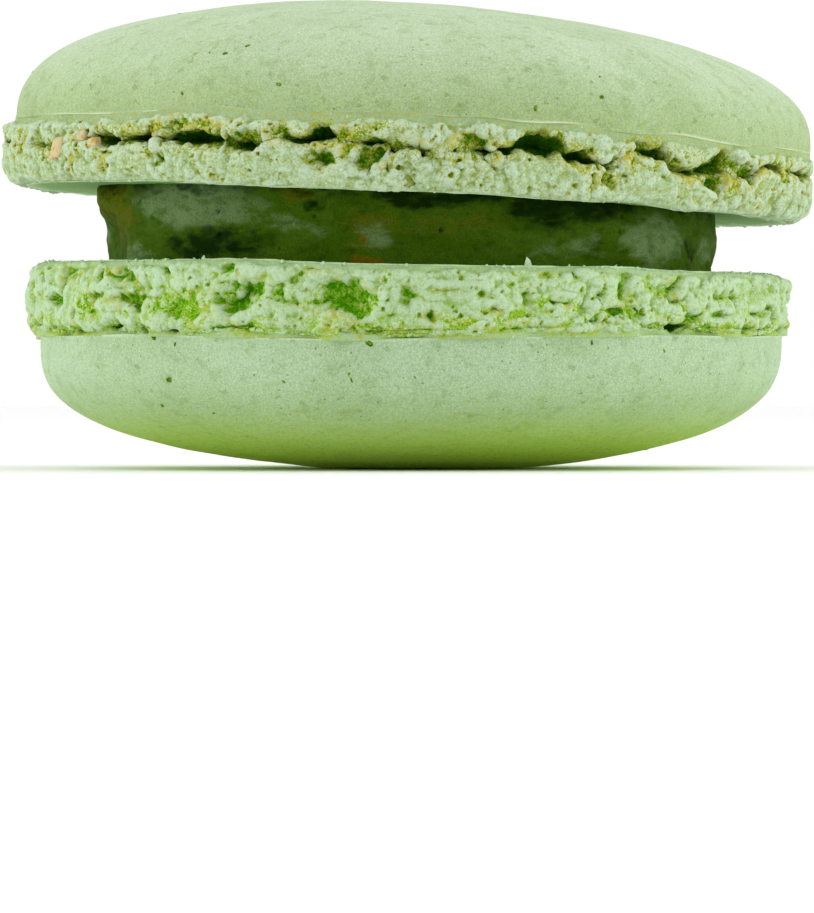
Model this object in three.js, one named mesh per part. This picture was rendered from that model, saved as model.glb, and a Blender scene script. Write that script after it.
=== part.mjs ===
// A French macaron: two baked almond-meringue shells with a disc of pistachio cream between them.
// Each shell is one piece, a smooth dome that stands on a torn, frothy band called the foot.
// The upper shell lies dome up and leans a little to the right, the lower one lies dome down.
//
// Millimetres, +Z up. The origin is on the resting surface under the middle of the macaron, and -Y
// is the front. A bearing is an angle round the macaron, 0 at the front and positive to the right.

import * as THREE from "three";

// Driving dimensions: the pile, from the resting surface up.
const LOWER_BASE_Z = 11.7; // flat side of the lower shell, on the axis
const UPPER_BASE_Z = 15.59; // rim of the upper shell's flat side, on the axis
const UPPER_DISH = 0.3; // how far that flat side is hollowed within its rim
const UPPER_LEAN = THREE.MathUtils.degToRad(2.6); // the whole upper shell, down to the right
const LOWER_LEAN = THREE.MathUtils.degToRad(1.05); // only the flat side of the lower shell

// Driving dimensions: one shell each. A dome's radius r and height h follow
// (r / skirtRadius)^2 + (h / domeHeight)^domePower = 1.
const UPPER = {
  up: 1,
  skirtRadius: 23.53, // dome's edge, where it meets the foot
  domeHeight: 7.69,
  domePower: 2.5,
  domeShift: 0.02, // the dome's axis along X
  domeLean: THREE.MathUtils.degToRad(0.7), // the dome's left side fuller than its right
  restRadius: 0, // flat spot on the dome
  footRadius: 23.95,
  footHeight: 4.1,
  footShift: -0.22,
  baseRound: 1.35, // how far the foot draws in at the flat side, less at front and back
  baseRoundHeight: 1.45,
  shoulder: 0.55, // how far the foot draws in under the dome's edge
  baseLean: 0,
  baseDish: UPPER_DISH,
  edgeWaves: [[1, 0.14, 2.36]],
  skirtWaves: [
    [3, 0.22, 1.57],
    [7, 0.04, 0.4],
  ],
  seed: 11,
  // [bearing in degrees, share of the foot's height from the flat side, half width, half height, depth]
  crags: [
    [-45, 0.61, 2.5, 0.5, 1.3],
    [-34, 0.55, 2.3, 0.4, 1.5],
    [-25, 0.53, 1.9, 0.45, 1.7],
    [-13.8, 0.67, 1.8, 0.5, 1.9],
    [-11.5, 0.4, 1.0, 0.8, 0.8],
    [-5.5, 0.45, 1.0, 0.95, 0.8],
    [1, 0.5, 1.6, 0.3, 1.3],
    [8.6, 0.6, 1.7, 0.5, 1.1],
    [17.6, 0.69, 2.1, 0.8, 2.2],
    [25.2, 0.54, 1.1, 0.5, 1.7],
    [37, 0.7, 1.5, 0.45, 1.3],
    [47, 0.45, 2.8, 0.6, 1.9],
    [65, 0.72, 1.3, 0.4, 0.9],
  ],
  backCrags: { count: 15, from: 76, to: 300, share: 0.57, drift: 0.12 },
};
const LOWER = {
  up: -1,
  skirtRadius: 22.0,
  domeHeight: 7.67,
  domePower: 3.0,
  domeShift: 0.1,
  domeLean: THREE.MathUtils.degToRad(-0.7),
  restRadius: 5,
  footRadius: 22.4,
  footHeight: 4.03,
  footShift: -0.03,
  baseRound: 0.55,
  baseRoundHeight: 0.8,
  shoulder: 0.45,
  baseLean: LOWER_LEAN,
  baseDish: 0,
  edgeWaves: [
    [3, 0.05, 1.0],
    [7, 0.04, 2.0],
  ],
  skirtWaves: [
    [2, 0.17, 1.57],
    [5, 0.06, 2.27],
  ],
  seed: 47,
  crags: [
    [-61, 0.72, 1.0, 0.4, 0.9],
    [-46, 0.9, 2.8, 0.3, 0.8],
    [-45, 0.5, 1.6, 0.35, 0.9],
    [-36, 0.66, 1.6, 1.0, 0.7],
    [-26, 0.52, 1.5, 0.7, 1.8],
    [-18, 0.52, 1.5, 0.4, 1.1],
    [-9.5, 0.53, 1.9, 0.95, 0.9],
    [-6.6, 0.92, 2.1, 0.25, 0.8],
    [13.8, 0.92, 2.4, 0.25, 0.8],
    [23, 0.54, 0.8, 0.45, 1.2],
    [44.7, 0.44, 0.8, 0.5, 1.0],
    [45.8, 0.85, 1.2, 0.3, 1.6],
    [67, 0.5, 1.5, 0.6, 0.6],
  ],
  backCrags: { count: 15, from: 78, to: 288, share: 0.62, drift: 0.2 },
};

// Driving dimensions: the cream, which stops short of the shells' edges.
const CREAM_RADIUS = 18.05;
const CREAM_BULGE = 0.25; // how far its side stands out half-way up
const CREAM_GAP = 0.15; // left to each shell
const CREAM_HOLLOWS = [
  [-83, 0.26, 6.5, 2.0, 0.85],
  [-16, 0.78, 0.9, 0.7, 0.4],
  [24, 0.7, 1.6, 0.9, 0.35],
  [78, 0.3, 3.5, 1.5, 0.3],
  [140, 0.55, 4, 1.3, 0.4],
  [215, 0.45, 5, 1.5, 0.45],
];

// Relief on the foot: rounded lumps in two sizes, and the waves of the plan shapes. A wave is
// [count in one turn, height, phase].
const LUMPS = [
  { size: 2.6, height: 0.3 },
  { size: 1.3, height: 0.16 },
];
const PLAN_WAVES = [
  [2, 0.1, 0.9],
  [3, 0.07, 2.2],
  [5, 0.04, 4.0],
];
const CREAM_WAVES = [
  [3, 0.16, 0.5],
  [7, 0.12, 1.9],
  [12, 0.09, 3.3],
  [19, 0.05, 5.1],
];

const FRONT_ROUND_LOSS = 0.6; // share of the base rounding that is missing at front and back

// How finely the surfaces are cut.
const COLUMNS = 116;
const FOOT_RINGS = 12;
const DOME_RINGS = 9;
const CREAM_COLUMNS = 76;
const CREAM_RINGS = 5;

const waves = (angle, terms) =>
  terms.reduce((sum, [count, height, phase]) => sum + height * Math.sin(count * angle + phase), 0);

const smooth = (x) => {
  const t = THREE.MathUtils.clamp(x, 0, 1);
  return t * t * (3 - 2 * t);
};

// A repeatable random number from 0 to 1 for a pair of whole numbers.
function scatter(i, j, seed) {
  let h = Math.imul(i, 374761393) + Math.imul(j, 668265263) + Math.imul(seed, 974711);
  h = Math.imul(h ^ (h >>> 13), 1274126177);
  return ((h ^ (h >>> 16)) >>> 0) / 4294967296;
}

// Rounded lumps on a band that closes on itself: one to each cell of a lattice, off centre by a
// random amount, with the height of the nearest one's half sphere, from 0 to 1.
function lumps(along, across, girth, size, seed) {
  const cells = Math.round(girth / size);
  const [u, v] = [(along / girth) * cells, across / size];
  let nearest = 4;
  for (let i = Math.floor(u) - 1; i <= Math.floor(u) + 1; i++) {
    for (let j = Math.floor(v) - 1; j <= Math.floor(v) + 1; j++) {
      const k = ((i % cells) + cells) % cells;
      const du = i + 0.15 + 0.7 * scatter(k, j, seed) - u;
      const dv = j + 0.15 + 0.7 * scatter(k, j, seed + 1) - v;
      nearest = Math.min(nearest, du * du + dv * dv);
    }
  }
  return Math.sqrt(Math.max(0, 1 - nearest));
}

// The hollows torn in a foot: the listed ones at the front, and scattered ones round the back.
function cragsOf(shell) {
  const { count, from, to, share, drift } = shell.backCrags;
  const back = Array.from({ length: count }, (_, i) => {
    const draw = (j) => scatter(i, j, shell.seed);
    return [
      from + ((i + 0.2 + 0.6 * draw(0)) / count) * (to - from),
      share + drift * (2 * draw(1) - 1),
      1.1 + 1.6 * draw(2),
      0.35 + 0.4 * draw(3),
      0.8 + 1.2 * draw(4),
    ];
  });
  return [...shell.crags, ...back];
}

// How deep hollows are on a band of a given radius and height, at a bearing and a height on it.
// Each hollow is a smooth dish with an elliptical rim.
function hollowDepth(hollows, bandRadius, bandHeight, bearing, height) {
  let depth = 0;
  for (const [degrees, share, halfWidth, halfHeight, full] of hollows) {
    const turn = bearing - THREE.MathUtils.degToRad(degrees);
    const along = Math.atan2(Math.sin(turn), Math.cos(turn)) * bandRadius;
    const away = Math.hypot(along / halfWidth, (height - share * bandHeight) / halfHeight);
    depth = Math.max(depth, full * smooth(1.35 * (1.1 - away)));
  }
  return depth;
}

// Radius of the foot at a bearing and a height: drawn in at the flat side and under the dome's
// edge, with lumps standing out and crags cut in.
function footRadius(shell, crags, bearing, height) {
  const girth = 2 * Math.PI * shell.footRadius;
  const low = Math.max(0, 1 - height / shell.baseRoundHeight);
  const high = smooth((height / shell.footHeight - 0.82) / 0.18);
  const baseRound = shell.baseRound * (1 - FRONT_ROUND_LOSS * Math.cos(bearing) ** 2);
  let radius = shell.footRadius - baseRound * (1 - Math.sqrt(1 - low * low));
  radius -= shell.shoulder * high;
  const fade = smooth(height / 0.5) * (1 - high);
  LUMPS.forEach(({ size, height: lump }, k) => {
    const along = bearing * shell.footRadius;
    radius += fade * lump * (lumps(along, height, girth, size, shell.seed + 2 * k) - 0.6);
  });
  const hollow = hollowDepth(crags, shell.footRadius, shell.footHeight, bearing, height);
  return radius - fade * hollow;
}

// A shell's rings from the middle of its flat side, out and up the foot, to the dome's top. Each is
// a function of the bearing that gives [radius, height over the flat side's middle, shift along X].
function shellRings(shell) {
  const crags = cragsOf(shell);
  const plan = (bearing) => waves(bearing, PLAN_WAVES);
  const flat = (radius, bearing) => radius * Math.sin(bearing) * Math.tan(shell.baseLean);
  const skirt = (bearing) => shell.footHeight + waves(bearing, shell.skirtWaves);
  const rings = [0.4, 0.85].map((part) => (bearing) => {
    const radius = part * (shell.footRadius - shell.baseRound);
    return [radius, flat(radius, bearing) + shell.baseDish, shell.footShift];
  });
  for (let i = 0; i <= FOOT_RINGS; i++) {
    const part = i / (FOOT_RINGS + 0.4);
    rings.push((bearing) => {
      const radius = footRadius(shell, crags, bearing, part * shell.footHeight) + plan(bearing);
      const edge = flat(radius, bearing) + waves(bearing, shell.edgeWaves);
      return [radius, (1 - part) * edge + part * skirt(bearing), shell.footShift];
    });
  }
  // The flat spot is cut where the full dome passes through restRadius.
  const spot = shell.restRadius / shell.skirtRadius;
  const full = shell.domeHeight / (1 - spot ** 2) ** (1 / shell.domePower);
  for (let i = 0; i < DOME_RINGS; i++) {
    const angle = (i / DOME_RINGS) * Math.acos(Math.max(spot, 0.16));
    rings.push((bearing) => {
      const edge = Math.cos(angle) ** 2;
      const radius = shell.skirtRadius * Math.cos(angle) + edge * plan(bearing);
      const height = full * Math.sin(angle) ** (2 / shell.domePower);
      const base = edge * skirt(bearing) + (1 - edge) * shell.footHeight;
      const lean = (1 - edge) * radius * Math.sin(bearing) * Math.tan(shell.domeLean);
      return [radius, base + height - lean, shell.domeShift];
    });
  }
  if (shell.restRadius) {
    rings.push(() => [shell.restRadius, shell.footHeight + shell.domeHeight, shell.domeShift]);
  }
  return rings;
}

// A closed surface of rings, with a point at each end on the axis. Rings run from the first point
// to the last, columns to the right, and up = -1 turns the faces round for a shape built downwards.
function ringSurface(rings, columns, firstPoint, lastPoint, up) {
  const positions = [firstPoint];
  for (const ring of rings) {
    for (let j = 0; j < columns; j++) {
      const bearing = (j / columns) * 2 * Math.PI;
      const [radius, height, shift] = ring(bearing);
      positions.push([radius * Math.sin(bearing) + shift, -radius * Math.cos(bearing), up * height]);
    }
  }
  positions.push(lastPoint);
  const faces = [];
  const add = (a, b, c) => faces.push(...(up > 0 ? [a, b, c] : [a, c, b]));
  const at = (i, j) => 1 + i * columns + (j % columns);
  for (let j = 0; j < columns; j++) {
    add(0, at(0, j + 1), at(0, j));
    for (let i = 0; i + 1 < rings.length; i++) {
      add(at(i, j), at(i, j + 1), at(i + 1, j + 1));
      add(at(i, j), at(i + 1, j + 1), at(i + 1, j));
    }
    add(at(rings.length - 1, j), at(rings.length - 1, j + 1), positions.length - 1);
  }
  const geometry = new THREE.BufferGeometry();
  geometry.setAttribute("position", new THREE.Float32BufferAttribute(positions.flat(), 3));
  geometry.setIndex(faces);
  geometry.computeVertexNormals();
  return geometry;
}

function shellGeometry(shell) {
  const top = shell.up * (shell.footHeight + shell.domeHeight);
  const [middle, peak] = [[shell.footShift, 0, shell.up * shell.baseDish], [shell.domeShift, 0, top]];
  return ringSurface(shellRings(shell), COLUMNS, middle, peak, shell.up);
}

// The cream's side runs between the two leaning flat sides and stands out a little half-way up.
function creamGeometry() {
  const bottom = (x) => LOWER_BASE_Z + CREAM_GAP - x * Math.tan(LOWER_LEAN);
  const top = (x) => UPPER_BASE_Z + UPPER_DISH - CREAM_GAP - x * Math.tan(UPPER_LEAN);
  const thickness = top(0) - bottom(0);
  const level = (part, x) => (1 - part) * bottom(x) + part * top(x);
  const ringAt = (part, scale) => (bearing) => {
    const ripple = waves(bearing + 0.25 * part, CREAM_WAVES);
    const hollow = hollowDepth(CREAM_HOLLOWS, CREAM_RADIUS, thickness, bearing, part * thickness);
    const bulge = CREAM_BULGE * (Math.sin(Math.PI * part) - 0.5);
    const radius = scale * (CREAM_RADIUS + ripple + bulge - hollow);
    return [radius, level(part, radius * Math.sin(bearing)), 0];
  };
  const rings = [ringAt(0, 0.5)];
  for (let i = 0; i <= CREAM_RINGS; i++) rings.push(ringAt(i / CREAM_RINGS, 1));
  rings.push(ringAt(1, 0.5));
  return ringSurface(rings, CREAM_COLUMNS, [0, 0, bottom(0)], [0, 0, top(0)], 1);
}

function piece(name, geometry, color, roughness) {
  const material = new THREE.MeshStandardMaterial({ color, roughness, metalness: 0 });
  const mesh = new THREE.Mesh(geometry, material);
  mesh.name = name;
  return mesh;
}

const upperShell = piece("upper_shell", shellGeometry(UPPER), 0xb9cfa5, 0.7);
upperShell.position.z = UPPER_BASE_Z;
upperShell.rotation.y = UPPER_LEAN;

const lowerShell = piece("lower_shell", shellGeometry(LOWER), 0xb4cb9e, 0.7);
lowerShell.position.z = LOWER_BASE_Z;

const cream = piece("cream_filling", creamGeometry(), 0x4a6420, 0.45);

const macaron = new THREE.Group();
macaron.name = "french_macaron";
macaron.add(lowerShell, cream, upperShell);

export default macaron;
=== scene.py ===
"""A French macaron: two almond-meringue shells with a disc of pistachio cream between them.

Each shell is a smooth dome on a torn, frothy foot. A bearing is an angle round the macaron, 0 at the
front (-Y) and positive to the right (+X). A share is a place up a foot, 0 at the shell's flat side
and 1 at the dome's edge. The lower shell is built as the upper one is and then turned dome down.
"""

import bpy
import numpy as np
from bpy.props import FloatProperty, FloatVectorProperty, PointerProperty
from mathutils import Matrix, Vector


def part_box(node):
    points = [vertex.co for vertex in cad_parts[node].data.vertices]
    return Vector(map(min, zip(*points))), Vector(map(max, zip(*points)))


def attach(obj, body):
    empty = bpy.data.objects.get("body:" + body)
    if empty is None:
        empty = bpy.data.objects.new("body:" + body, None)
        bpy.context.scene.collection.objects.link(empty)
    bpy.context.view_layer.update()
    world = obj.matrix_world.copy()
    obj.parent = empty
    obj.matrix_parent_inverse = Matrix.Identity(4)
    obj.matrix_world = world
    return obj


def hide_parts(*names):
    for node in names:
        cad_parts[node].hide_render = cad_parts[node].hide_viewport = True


bl_info = {
    "name": "French macaron",
    "version": (1, 0, 0),
    "blender": (4, 5, 0),
    "location": "3D View > Sidebar > Macaron",
    "description": "Builds a macaron from its baked shells, their torn feet and the cream",
    "category": "Add Mesh",
}

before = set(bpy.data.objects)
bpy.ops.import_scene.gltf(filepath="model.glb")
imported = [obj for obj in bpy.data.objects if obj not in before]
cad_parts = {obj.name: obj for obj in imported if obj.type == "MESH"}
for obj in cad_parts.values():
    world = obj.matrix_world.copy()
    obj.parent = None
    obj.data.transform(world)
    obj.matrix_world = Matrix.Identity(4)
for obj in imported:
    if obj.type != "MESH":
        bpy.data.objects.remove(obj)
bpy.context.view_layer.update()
UPPER_LOW, UPPER_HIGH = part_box("upper_shell")
LOWER_LOW, LOWER_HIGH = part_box("lower_shell")

MM = 0.001
TURN = 2 * np.pi
HIDDEN_DEPTH = 3.2 * MM  # how far the foot's pieces reach in, out of sight

# How finely each surface is cut. Columns lie closer together at the front, where each takes
# 1 - FRONT_PULL of an even step.
DOME_COLUMNS, DOME_ROWS = 1000, 80
FLAT_COLUMNS, FLAT_ROWS = 900, 22
CREAM_COLUMNS, CREAM_ROWS = 1100, 60
CORE_COLUMNS, CORE_ROWS = 520, 20
FRONT_PULL = 0.3

# Waves are (count in one turn, height, phase).
PLAN_WAVES = ((2, 0.1 * MM, 0.9), (3, 0.07 * MM, 2.2), (5, 0.04 * MM, 4.0))
CREAM_WAVES = ((3, 0.16 * MM, 0.5), (7, 0.12 * MM, 1.9), (12, 0.09 * MM, 3.3), (19, 0.05 * MM, 5.1))


class Form:
    """The shape of one foot that isn't a size: how it waves, and where it is torn and hollow.

    A wave is (count in one turn, height, phase), and a bump is (bearing, height, width in degrees).
    The edge is the flat side's rim, and the skirt is the dome's edge.
    A tear is (bearing, share, half width, half height, depth): an opening of the long crack that
    parts the foot into two bands. A bowl has the same values, and is a pit in a band's face.
    The valley is how far the crumb round the crack is torn away above it, below it and inwards.
    The strips are how far the smooth crumb reaches from the flat side and from the dome.
    The hollows are how rare the ragged hollows between the lumps are, and how deep.
    The swell is how far the face waves in and out over a few millimetres.
    The scorch is how strongly the crumb is toasted along the crack, from 0 to 1, and moist is how fast a
    pit's crumb darkens with its depth: part moist crumb, part painted shade.
    A stain is a patch of moist crumb: (bearing, share, half width, half height, strength).
    The back is (count, share, how far the share drifts, half height) of the tears scattered there.
    Bearings are in degrees. Lengths are in millimetres, but the waves' heights in metres.
    """

    def __init__(self, **values):
        vars(self).update(values)


UPPER_FORM = Form(
    node="upper_shell",
    side=1,
    seed=11,
    edge_waves=((1, 0.14 * MM, 2.36),),
    skirt_waves=((3, 0.22 * MM, 1.57), (7, 0.04 * MM, 0.4)),
    edge_bumps=(
        (-40, 0.08, 5),
        (-14, -0.07, 12),
        (10, 0.06, 7),
        (33, 0.13, 5),
        (43, -0.1, 4),
        (150, 0.08, 9),
    ),
    skirt_bumps=(
        (-30, 0.33, 7),
        (-1, 0.14, 4),
        (10, 0.1, 3),
        (22, 0.18, 4),
        (40, 0.2, 5),
        (54, -0.12, 5),
        (-62, 0.12, 9),
        (112, 0.2, 6),
        (150, -0.15, 6),
        (204, 0.26, 6),
        (250, -0.12, 4),
    ),
    tears=(
        (-62.5, 0.53, 1.9, 0.17, 0.8),
        (-46.5, 0.58, 1.15, 0.39, 2.2),
        (-40.3, 0.65, 1.3, 0.31, 2.2),
        (-31.2, 0.57, 2.2, 0.53, 2.6),
        (-22.8, 0.55, 1.15, 0.34, 2.4),
        (-14.5, 0.63, 1.3, 0.28, 2.2),
        (-11.5, 0.70, 0.85, 0.47, 2.6),
        (-5.4, 0.64, 1.45, 0.28, 1.6),
        (-0.4, 0.50, 0.8, 0.15, 2.0),
        (2.2, 0.45, 0.45, 0.28, 2.4),
        (5.9, 0.57, 0.45, 0.28, 2.0),
        (10.0, 0.55, 1.5, 0.11, 1.4),
        (13.5, 0.63, 0.85, 0.50, 2.6),
        (18.1, 0.71, 1.6, 0.78, 3.0),
        (24.4, 0.53, 1.25, 0.39, 2.6),
        (28.4, 0.5, 0.7, 0.18, 2.0),
        (33.2, 0.76, 0.45, 0.34, 2.4),
        (36.3, 0.73, 1.2, 0.39, 2.4),
        (41.6, 0.52, 1.65, 0.22, 2.4),
        (47.2, 0.57, 1.3, 0.50, 2.6),
        (49.8, 0.78, 0.4, 0.67, 1.8),
        (53.8, 0.52, 1.5, 0.14, 1.6),
        (63.1, 0.71, 1.1, 0.31, 1.2),
    ),
    bowls=(
        (-46.2, 0.44, 0.65, 0.28, 0.4),
        (-36.0, 0.29, 0.4, 0.45, 1.2),
        (-32.5, 0.74, 2.3, 0.5, 0.6),
        (-17.5, 0.76, 0.8, 0.4, 0.5),
        (-11.6, 0.38, 0.95, 0.73, 1.1),
        (-4.9, 0.43, 1.2, 0.84, 1.2),
        (9.0, 0.65, 1.6, 0.45, 0.6),
        (47.6, 0.42, 1.1, 0.7, 1.6),
    ),
    valley=(0.95, 0.6, 0.7),
    strips=(-0.15, 0.45),
    hollows=(0.42, 0.4),
    swell=0.1,
    scorch=1.0,
    moist=0.17,
    stains=(
        (-62, 0.55, 1.1, 0.6, 0.7),
        (-52, 0.62, 1.3, 0.6, 0.8),
        (-47, 0.4, 0.9, 0.5, 0.6),
        (-38, 0.42, 1.0, 0.5, 0.9),
        (-36, 0.78, 1.5, 0.4, 0.8),
        (-30, 0.7, 1.4, 0.5, 0.9),
        (-19, 0.6, 1.2, 0.35, 0.8),
        (-8, 0.6, 1.6, 0.5, 0.9),
        (-3, 0.8, 1.4, 0.3, 0.6),
        (8, 0.6, 1.3, 0.45, 0.8),
        (22, 0.5, 0.9, 0.5, 0.7),
        (31, 0.55, 1.4, 0.5, 0.9),
        (37, 0.6, 1.2, 0.4, 0.7),
        (50, 0.45, 1.3, 0.8, 0.9),
        (64, 0.62, 1.3, 0.5, 0.8),
    ),
    back=(26, 0.58, 0.13, 0.62),
)
LOWER_FORM = Form(
    node="lower_shell",
    side=-1,
    seed=47,
    edge_waves=((3, 0.05 * MM, 1.0), (7, 0.04 * MM, 2.0)),
    skirt_waves=((2, 0.17 * MM, 1.57), (5, 0.06 * MM, 2.27)),
    edge_bumps=((-24, -0.08, 7), (33, -0.09, 6), (140, 0.1, 8), (230, -0.08, 8)),
    skirt_bumps=((-6, 0.06, 7), (120, 0.12, 8), (190, -0.1, 6), (262, 0.14, 7)),
    tears=(
        (-60.0, 0.93, 1.1, 0.17, 0.9),
        (-49.7, 0.89, 1.0, 0.17, 1.0),
        (-43.2, 0.90, 0.6, 0.16, 1.0),
        (-37.4, 0.91, 0.5, 0.16, 1.0),
        (27.5, 0.83, 0.6, 0.15, 0.8),
        (35.0, 0.83, 0.5, 0.15, 0.7),
        (43.9, 0.84, 1.3, 0.39, 2.4),
        (61.7, 0.89, 0.95, 0.22, 0.7),
    ),
    bowls=(
        (-59.4, 0.72, 0.75, 0.5, 1.5),
        (-52.6, 0.49, 0.9, 0.28, 1.0),
        (-45.6, 0.52, 1.9, 0.28, 1.3),
        (-36.3, 0.62, 1.9, 0.85, 0.4),
        (-28.1, 0.31, 0.45, 0.18, 0.8),
        (-25.8, 0.45, 1.6, 0.8, 1.9),
        (-19.3, 0.5, 1.6, 0.36, 1.5),
        (-16.9, 0.26, 0.3, 0.22, 0.8),
        (-9.4, 0.5, 2.1, 0.95, 0.85),
        (-2.5, 0.67, 0.5, 0.22, 0.7),
        (-0.2, 0.48, 0.4, 0.34, 0.9),
        (3.1, 0.69, 0.5, 0.22, 0.8),
        (5.4, 0.34, 0.7, 0.22, 0.8),
        (10.0, 0.41, 0.35, 0.34, 1.0),
        (12.1, 0.61, 0.35, 0.34, 0.9),
        (17.1, 0.50, 0.35, 0.22, 0.9),
        (22.1, 0.52, 0.65, 0.28, 1.1),
        (28.4, 0.42, 0.45, 0.39, 1.2),
        (31.4, 0.63, 1.2, 0.28, 1.0),
        (35.5, 0.72, 0.35, 0.28, 1.2),
        (43.2, 0.48, 0.55, 0.56, 1.1),
        (46.0, 0.61, 0.4, 0.22, 0.8),
        (53.9, 0.66, 0.95, 0.28, 0.7),
        (66.2, 0.66, 1.25, 0.34, 1.1),
    ),
    valley=(0.25, 0.6, 0.5),
    strips=(0.3, 0.3),
    hollows=(0.22, 0.6),
    swell=0.4,
    scorch=0.6,
    moist=0.28,
    stains=(
        (-56, 0.6, 1.9, 0.9, 1.0),
        (-45, 0.6, 1.9, 0.8, 1.0),
        (-34, 0.62, 2.3, 1.1, 1.0),
        (-9, 0.5, 1.8, 1.0, 0.8),
        (8, 0.8, 3.0, 0.4, 0.8),
        (14, 0.65, 1.8, 0.6, 0.9),
        (22, 0.55, 1.5, 0.6, 1.0),
        (31, 0.62, 1.8, 0.6, 1.0),
        (44, 0.55, 1.0, 0.9, 0.9),
        (64, 0.6, 1.5, 0.8, 0.6),
    ),
    back=(24, 0.88, 0.04, 0.24),
)

# ---------------------------------------------------------------- sizes and colours


def length(name, description, default):
    """A size in metres."""
    return FloatProperty(name=name, description=description, default=default, unit="LENGTH", precision=6)


def number(name, description, default):
    """A plain number."""
    return FloatProperty(name=name, description=description, default=default, precision=4)


def angle(name, description, degrees):
    """An angle, kept in radians."""
    return FloatProperty(name=name, description=description, default=np.radians(degrees), unit="ROTATION")


def colour(name, description, red, green, blue):
    """A colour as linear light."""
    limits = {"subtype": "COLOR", "size": 3, "min": 0, "max": 1}
    return FloatVectorProperty(name=name, description=description, default=(red, green, blue), **limits)


FOOT_RELIEF = 0.3 * MM  # how far the froth stands out of the foot's own radius
UPPER_RADIUS = (UPPER_HIGH.x - UPPER_LOW.x) / 2 - FOOT_RELIEF
LOWER_RADIUS = (LOWER_HIGH.x - LOWER_LOW.x) / 2 - FOOT_RELIEF

# A shell's sizes: name, kind, label, description, then the upper shell's default and the lower's.
SHELL_SIZES = (
    ("level", length, "Level", "Height of the flat side's rim on the axis", 15.59 * MM, 11.7 * MM),
    ("lean", angle, "Lean", "How far the shell leans down to the right", 2.6, 0.0),
    ("flat_lean", angle, "Flat side's lean", "Lean of the flat side alone", 0.0, 1.05),
    ("dish", length, "Dish", "How far the flat side is hollowed within its rim", 0.3 * MM, 0.0),
    ("foot_radius", length, "Foot radius", "Radius of the foot", UPPER_RADIUS, LOWER_RADIUS),
    ("foot_height", length, "Foot height", "From the flat side to the dome's edge", 4.1 * MM, 4.03 * MM),
    ("foot_shift", length, "Foot shift", "The foot's axis along X", -0.22 * MM, -0.03 * MM),
    ("skirt_radius", length, "Dome radius", "Radius of the dome's edge", 23.53 * MM, 22.0 * MM),
    ("dome_height", length, "Dome height", "From the dome's edge to its top", 7.69 * MM, 7.67 * MM),
    ("dome_power", number, "Dome power", "2 is an ellipse, more is squarer", 2.5, 3.0),
    ("dome_shift", length, "Dome shift", "The dome's axis along X", 0.02 * MM, 0.1 * MM),
    ("dome_lean", angle, "Dome lean", "How much fuller the dome's left side is", 0.7, -0.7),
    ("base_round", length, "Base rounding", "How far the flat side's edge draws in", 1.35 * MM, 0.55 * MM),
    ("base_round_height", length, "Base rounding height", "Height of that rounding", 1.45 * MM, 0.8 * MM),
    ("shoulder", length, "Shoulder", "How far the dome's edge overhangs the foot", 0.015 * MM, 0.015 * MM),
)


class UpperShellSettings(bpy.types.PropertyGroup):
    """Sizes of the upper shell."""

    __annotations__ = {name: kind(label, text, upper) for name, kind, label, text, upper, _ in SHELL_SIZES}


class LowerShellSettings(bpy.types.PropertyGroup):
    """Sizes of the lower shell."""

    __annotations__ = {name: kind(label, text, lower) for name, kind, label, text, _, lower in SHELL_SIZES}


class CreamSettings(bpy.types.PropertyGroup):
    """Sizes of the cream."""

    radius: length("Radius", "Radius of the disc of cream", 18.05 * MM)
    bulge: length("Bulge", "How far its side stands out half-way up", 0.25 * MM)


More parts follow.
